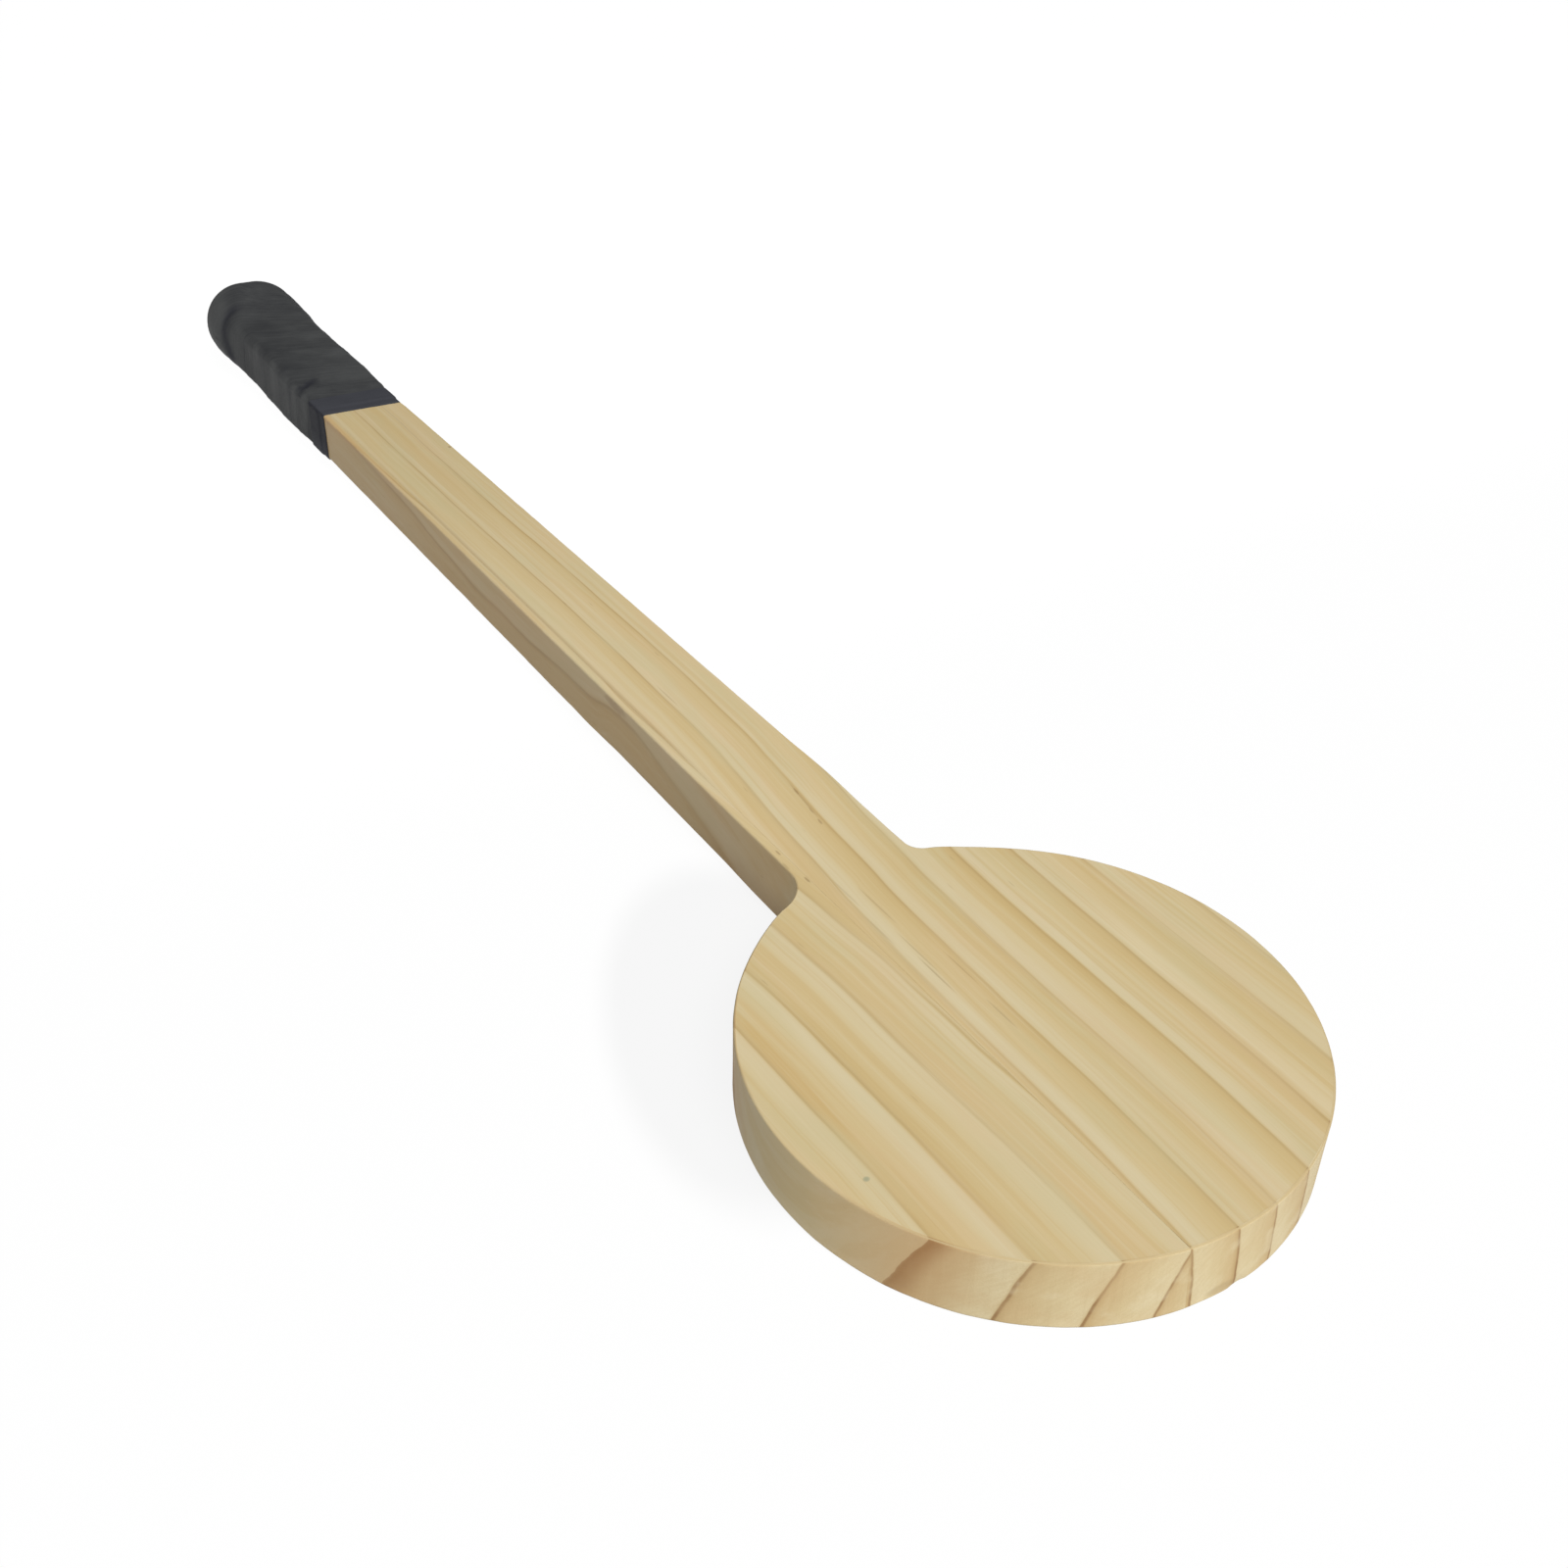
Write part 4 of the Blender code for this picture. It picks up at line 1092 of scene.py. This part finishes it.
def finishing_band(mat):
    """Thin vinyl band: its edge on the wood is slightly uneven, it steps up
    over the end of the wrap, and its own end shows as a low step below."""
    t = 0.28
    rise = 0.36
    cols = unit_columns()
    edge = np.array([0.42 * n1(S_FRAC[j] * 9.0, 51) + 0.12 * n1(S_FRAC[j] * 41.0, 53) for j in range(NS)])
    edge = edge - edge.max() - 0.0
    far = np.array([0.30 * n1(S_FRAC[j] * 7.0, 57) for j in range(NS)])
    prof = [(0.0, 0.0), (0.02, t * 0.55), (0.10, t * 0.85), (0.30, t)]
    yy = 0.8
    while yy < BAND_W - 0.5:
        prof.append((yy, t + rise * float(smooth(4.2, 7.0, yy))))
        yy += 0.42
    prof += [(BAND_W - 0.25, t + rise), (BAND_W - 0.08, t * 0.8 + rise), (BAND_W, t * 0.4 + rise),
             (BAND_W, rise + 0.02)]
    verts, faces, wind, lay, painted_light_and_wear, painted_shade = [], [], [], [], [], []
    rings = []
    for n_i, (dy, d) in enumerate(prof):
        f = dy / BAND_W
        y = Y_BAND + dy + (edge + 0.9) * (1 - f) + far * f
        a, h = np.full(NS, SHAFT_W / 2 + 0.02), np.full(NS, T / 2 + 0.02)
        r = np.full(NS, 0.9)
        x, z, nx, nz = section_columns(cols, a, h, r)
        # taut ridges and the step where the band ends, under the handle
        step = 0.12 * smooth(0.80, 0.803, S_FRAC) * (1 - smooth(0.985, 1.0, S_FRAC))
        w = np.array([n2(S_FRAC[j] * PERIM / 14.0, y[j] / 3.2, 61) for j in range(NS)])
        hgt = d + (0.035 * w + step) * min(1.0, max(d, 0.0) / t)
        v = np.c_[x + nx * hgt, y, Z_MID + z + nz * hgt]
        rings.append(list(range(len(verts), len(verts) + NS)))
        verts += v.tolist()
        wind += list(S_FRAC * PERIM)
        lay += list(y)
        # painted sheen on the top and painted shade down the left side
        lf = smooth(0.4, 0.9, -nx)
        painted_light_and_wear += list(0.20 * smooth(0.4, 0.9, nz) - 1.0 * lf * smooth(-7.5, -1.5, z))
        painted_shade += list(lf * (0.10 + 0.58 * smooth(-7.5, -1.5, z)))
    for dy, d in ((BAND_W - 0.4, rise + 0.0), (7.0, rise), (4.2, 0.02), (0.4, 0.0)):
        f = dy / BAND_W
        y = Y_BAND + dy + (edge + 0.9) * (1 - f) + far * f
        a, h = np.full(NS, SHAFT_W / 2 + 0.02), np.full(NS, T / 2 + 0.02)
        x, z, nx, nz = section_columns(cols, a, h, np.full(NS, 0.9))
        v = np.c_[x + nx * d, y, Z_MID + z + nz * d]
        rings.append(list(range(len(verts), len(verts) + NS)))
        verts += v.tolist()
        wind += list(S_FRAC * PERIM)
        lay += list(y)
        painted_light_and_wear += [0.0] * NS
        painted_shade += [0.0] * NS
    rings.append(rings[0])
    for a, b in zip(rings, rings[1:]):
        for j in range(NS):
            jj = (j + 1) % NS
            faces.append((a[j], a[jj], b[jj], b[j]))
    return mesh_piece("finishing_wrap", verts, faces, mat, sharp=50.0,
                      attrs={"wind": wind, "lay": lay, "painted_light_and_wear": painted_light_and_wear, "painted_shade": painted_shade})


def end_cap(mat):
    """The knob's cap: hidden flare under the tape, and the plain oval face in
    the tape's opening with a moulded bead and a shallow dish."""
    rings = []
    inset = 0.85
    mouth = Y_BUTT - 38
    for i in range(12):
        rings.append(base_ring(mouth + (Y_DOME - mouth) * i / 12, inset)[0])
    for i in range(0, 9):
        rings.append(base_ring(Y_DOME, inset, math.radians(max(58 * i / 8, 0.001)))[0])

    def oval(y, a, h, r):
        p, _ = ring_xz(a, h, r)
        return np.c_[p[:, 0] + KNOB_SIDE, np.full(NS, y), Z_MID + KNOB_RISE + p[:, 1]]

    for y, a, h in ((2.5, 12.9, 9.5), (2.3, 12.5, 9.1), (1.6, 12.2, 8.8), (0.9, 12.05, 8.65),
                    (0.45, 11.9, 8.5), (0.15, 11.6, 8.2), (0.0, 11.1, 7.7), (0.0, 10.5, 7.1),
                    (0.12, 10.2, 6.8), (0.42, 9.9, 6.5), (0.55, 9.4, 6.0), (0.62, 8.2, 4.9),
                    (0.70, 6.0, 3.2), (0.74, 3.4, 1.6), (0.75, 1.2, 0.5)):
        rings.append(oval(Y_BUTT - y, a, h, min(7.5, h * 0.9)))
    verts = [tuple(p) for r in rings for p in r]
    idx = [list(range(i * NS, (i + 1) * NS)) for i in range(len(rings))]
    floor = []
    for y, a, h in ((Y_WOOD_END + 0.3, 2.0, 1.0), (Y_WOOD_END + 0.3, 13.65, 8.6), (mouth, 13.65, 8.6)):
        p, _ = ring_xz(a, h, min(4.0, h * 0.5))
        floor.append(list(range(len(verts), len(verts) + NS)))
        verts += [(x + 1.15, y, Z_MID + z) for x, z in p]
    faces = []
    for a, b in zip(idx, idx[1:]):
        for j in range(NS):
            jj = (j + 1) % NS
            faces.append((a[j], a[jj], b[jj], b[j]))
    faces.append(tuple(idx[-1]))
    faces.append(tuple(floor[0]))
    for a, b in ((floor[0], floor[1]), (floor[1], floor[2]), (floor[2], idx[0])):
        for j in range(NS):
            jj = (j + 1) % NS
            faces.append((a[j], a[jj], b[jj], b[j]))
    return mesh_piece("knob_end_cap", verts, faces, mat, sharp=45.0, tri_ngons=True)


# --------------------------------------------------------------------- pieces
pine = wood("pine_wide_stave", +1)
pine_b = wood("pine_narrow_stave", -1)
grip_mat = tape_material("grip_tape_finish", (0.029, 0.030, 0.032), (0.063, 0.065, 0.065),
                         0.66, 0.0, 0.10, 1)
band_mat = tape_material("band_tape_finish", (0.037, 0.038, 0.045), (0.050, 0.052, 0.060),
                         0.60, 0.0, 0.04, 0, (0.20, 0.20, 0.24))
cap_mat = cap_material("cap_rubber_finish")

wide = stave("stave_wide_wood", +1, pine)
narrow = stave("stave_narrow_wood", -1, pine_b)
wrap = overgrip(grip_mat)
band = finishing_band(band_mat)
cap = end_cap(cap_mat)

for piece, node, slot in ((wide, "stave_wide", "pine"), (narrow, "stave_narrow", "pine_second_stave"),
                          (wrap, "overgrip_tape", "grip_tape"), (band, "finishing_band", "band_tape"),
                          (cap, "knob_cap", "cap")):
    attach(piece, "root")
    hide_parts(node)

# ------------------------------------------------------------- floor and light
scene = bpy.context.scene


def floor_z(y_mm):
    """The floor touches the knob's underside and the head's back edge."""
    return Z_BOT * (289.0 - y_mm) / 589.0 - 0.02


fm = Nodes("studio_floor")
fpos, fx, fy, fz = fm.mm()
far = fm.math('SQRT', fm.add(fm.mul(fx, fx), fm.mul(fy, fy)))
cloud = fm.noise(fpos, 0.004, 2.0)
# painted shadow: a soft grey patch on the floor left of the head
bx, by = fm.add(fx, 50.0), fm.add(fy, 184.0)
bp = fm.mul(fm.sub(fm.add(fm.mul(bx, 1.901), fm.mul(by, 2.632)), 2.0), 1 / 187.0)
bq = fm.mul(fm.sub(fm.sub(fm.mul(bx, 4.647), fm.mul(by, 2.112)), 58.0), 1 / 150.0)
shade = fm.remap(fm.math('SQRT', fm.add(fm.mul(bp, bp), fm.mul(bq, bq))), 0.80, 1.08, -0.068, 0.0)
# the floor glows brighter towards the grip, painted light that hides the shadows there
near = fm.remap(fy, -120.0, 230.0, 0.0, 0.075)
glow = fm.math('MINIMUM', fm.add(fm.remap(far, 350.0, 1800.0, 0.964, 0.985), near), 0.985)
fm.link(fm.add(fm.add(glow, shade), fm.mul(fm.sub(cloud, 0.5), 0.006)),
        fm.bsdf.inputs["Emission Strength"])
fm.bsdf.inputs["Base Color"].default_value = (0.025, 0.025, 0.025, 1)
fm.bsdf.inputs["Roughness"].default_value = 0.9
fm.bsdf.inputs["Specular IOR Level"].default_value = 0.0
fm.bsdf.inputs["Emission Color"].default_value = (1, 1, 1, 1)
me = bpy.data.meshes.new("floor")
half = 6000.0
me.from_pydata([tuple(c * 0.001 for c in p) for p in
                ((-half, -half, floor_z(-half)), (half, -half, floor_z(-half)),
                 (half, half, floor_z(half)), (-half, half, floor_z(half)))], [], [(0, 1, 2, 3)])
me.materials.append(fm.mat)
floor = bpy.data.objects.new("floor", me)
scene.collection.objects.link(floor)

world = bpy.data.worlds.new("studio")
scene.world = world
world.use_nodes = True
wt = world.node_tree
bg = wt.nodes["Background"]
bg.inputs["Color"].default_value = (1, 1, 1, 1)
bg.inputs["Strength"].default_value = 0.15


def area(name, loc, target, size, power, colour=(1, 1, 1)):
    l = bpy.data.lights.new(name, 'AREA')
    l.shape = 'DISK'
    l.size = size
    l.energy = power
    l.color = colour
    o = bpy.data.objects.new(name, l)
    o.location = loc
    o.rotation_euler = (Vector(target) - Vector(loc)).to_track_quat('-Z', 'Y').to_euler()
    scene.collection.objects.link(o)
    return o


area("key", (-0.18, -2.29, 2.83), (0.0, -0.24, 0.0), 1.7, 185.0)

scene.view_settings.view_transform = 'Standard'
scene.view_settings.look = 'None'

# --------------------------------------------------------------------- camera
cam_data = bpy.data.cameras.new("camera")
cam_data.sensor_width = 36.0
cam_data.sensor_fit = 'HORIZONTAL'
cam_data.lens = 36.0 * 1649.0 / 1600.0
cam_data.shift_x = (800.0 - 824.8) / 1600.0
cam_data.shift_y = (749.5 - 800.0) / 1600.0
cam_data.clip_start = 0.01
cam_data.clip_end = 50.0
cam = bpy.data.objects.new("camera", cam_data)
right = Vector((0.83984514, -0.54200649, 0.02981791))
up = Vector((0.26833344, 0.46228117, 0.84515873))
back = Vector((-0.47186578, -0.70180131, 0.53368306))
m = Matrix((right, up, back)).transposed().to_4x4()
m.translation = Vector((-0.17615, -0.41788, 0.22255 + Z_TOP * 0.001))
cam.matrix_world = m
scene.collection.objects.link(cam)
scene.camera = cam

bpy.context.view_layer.update()
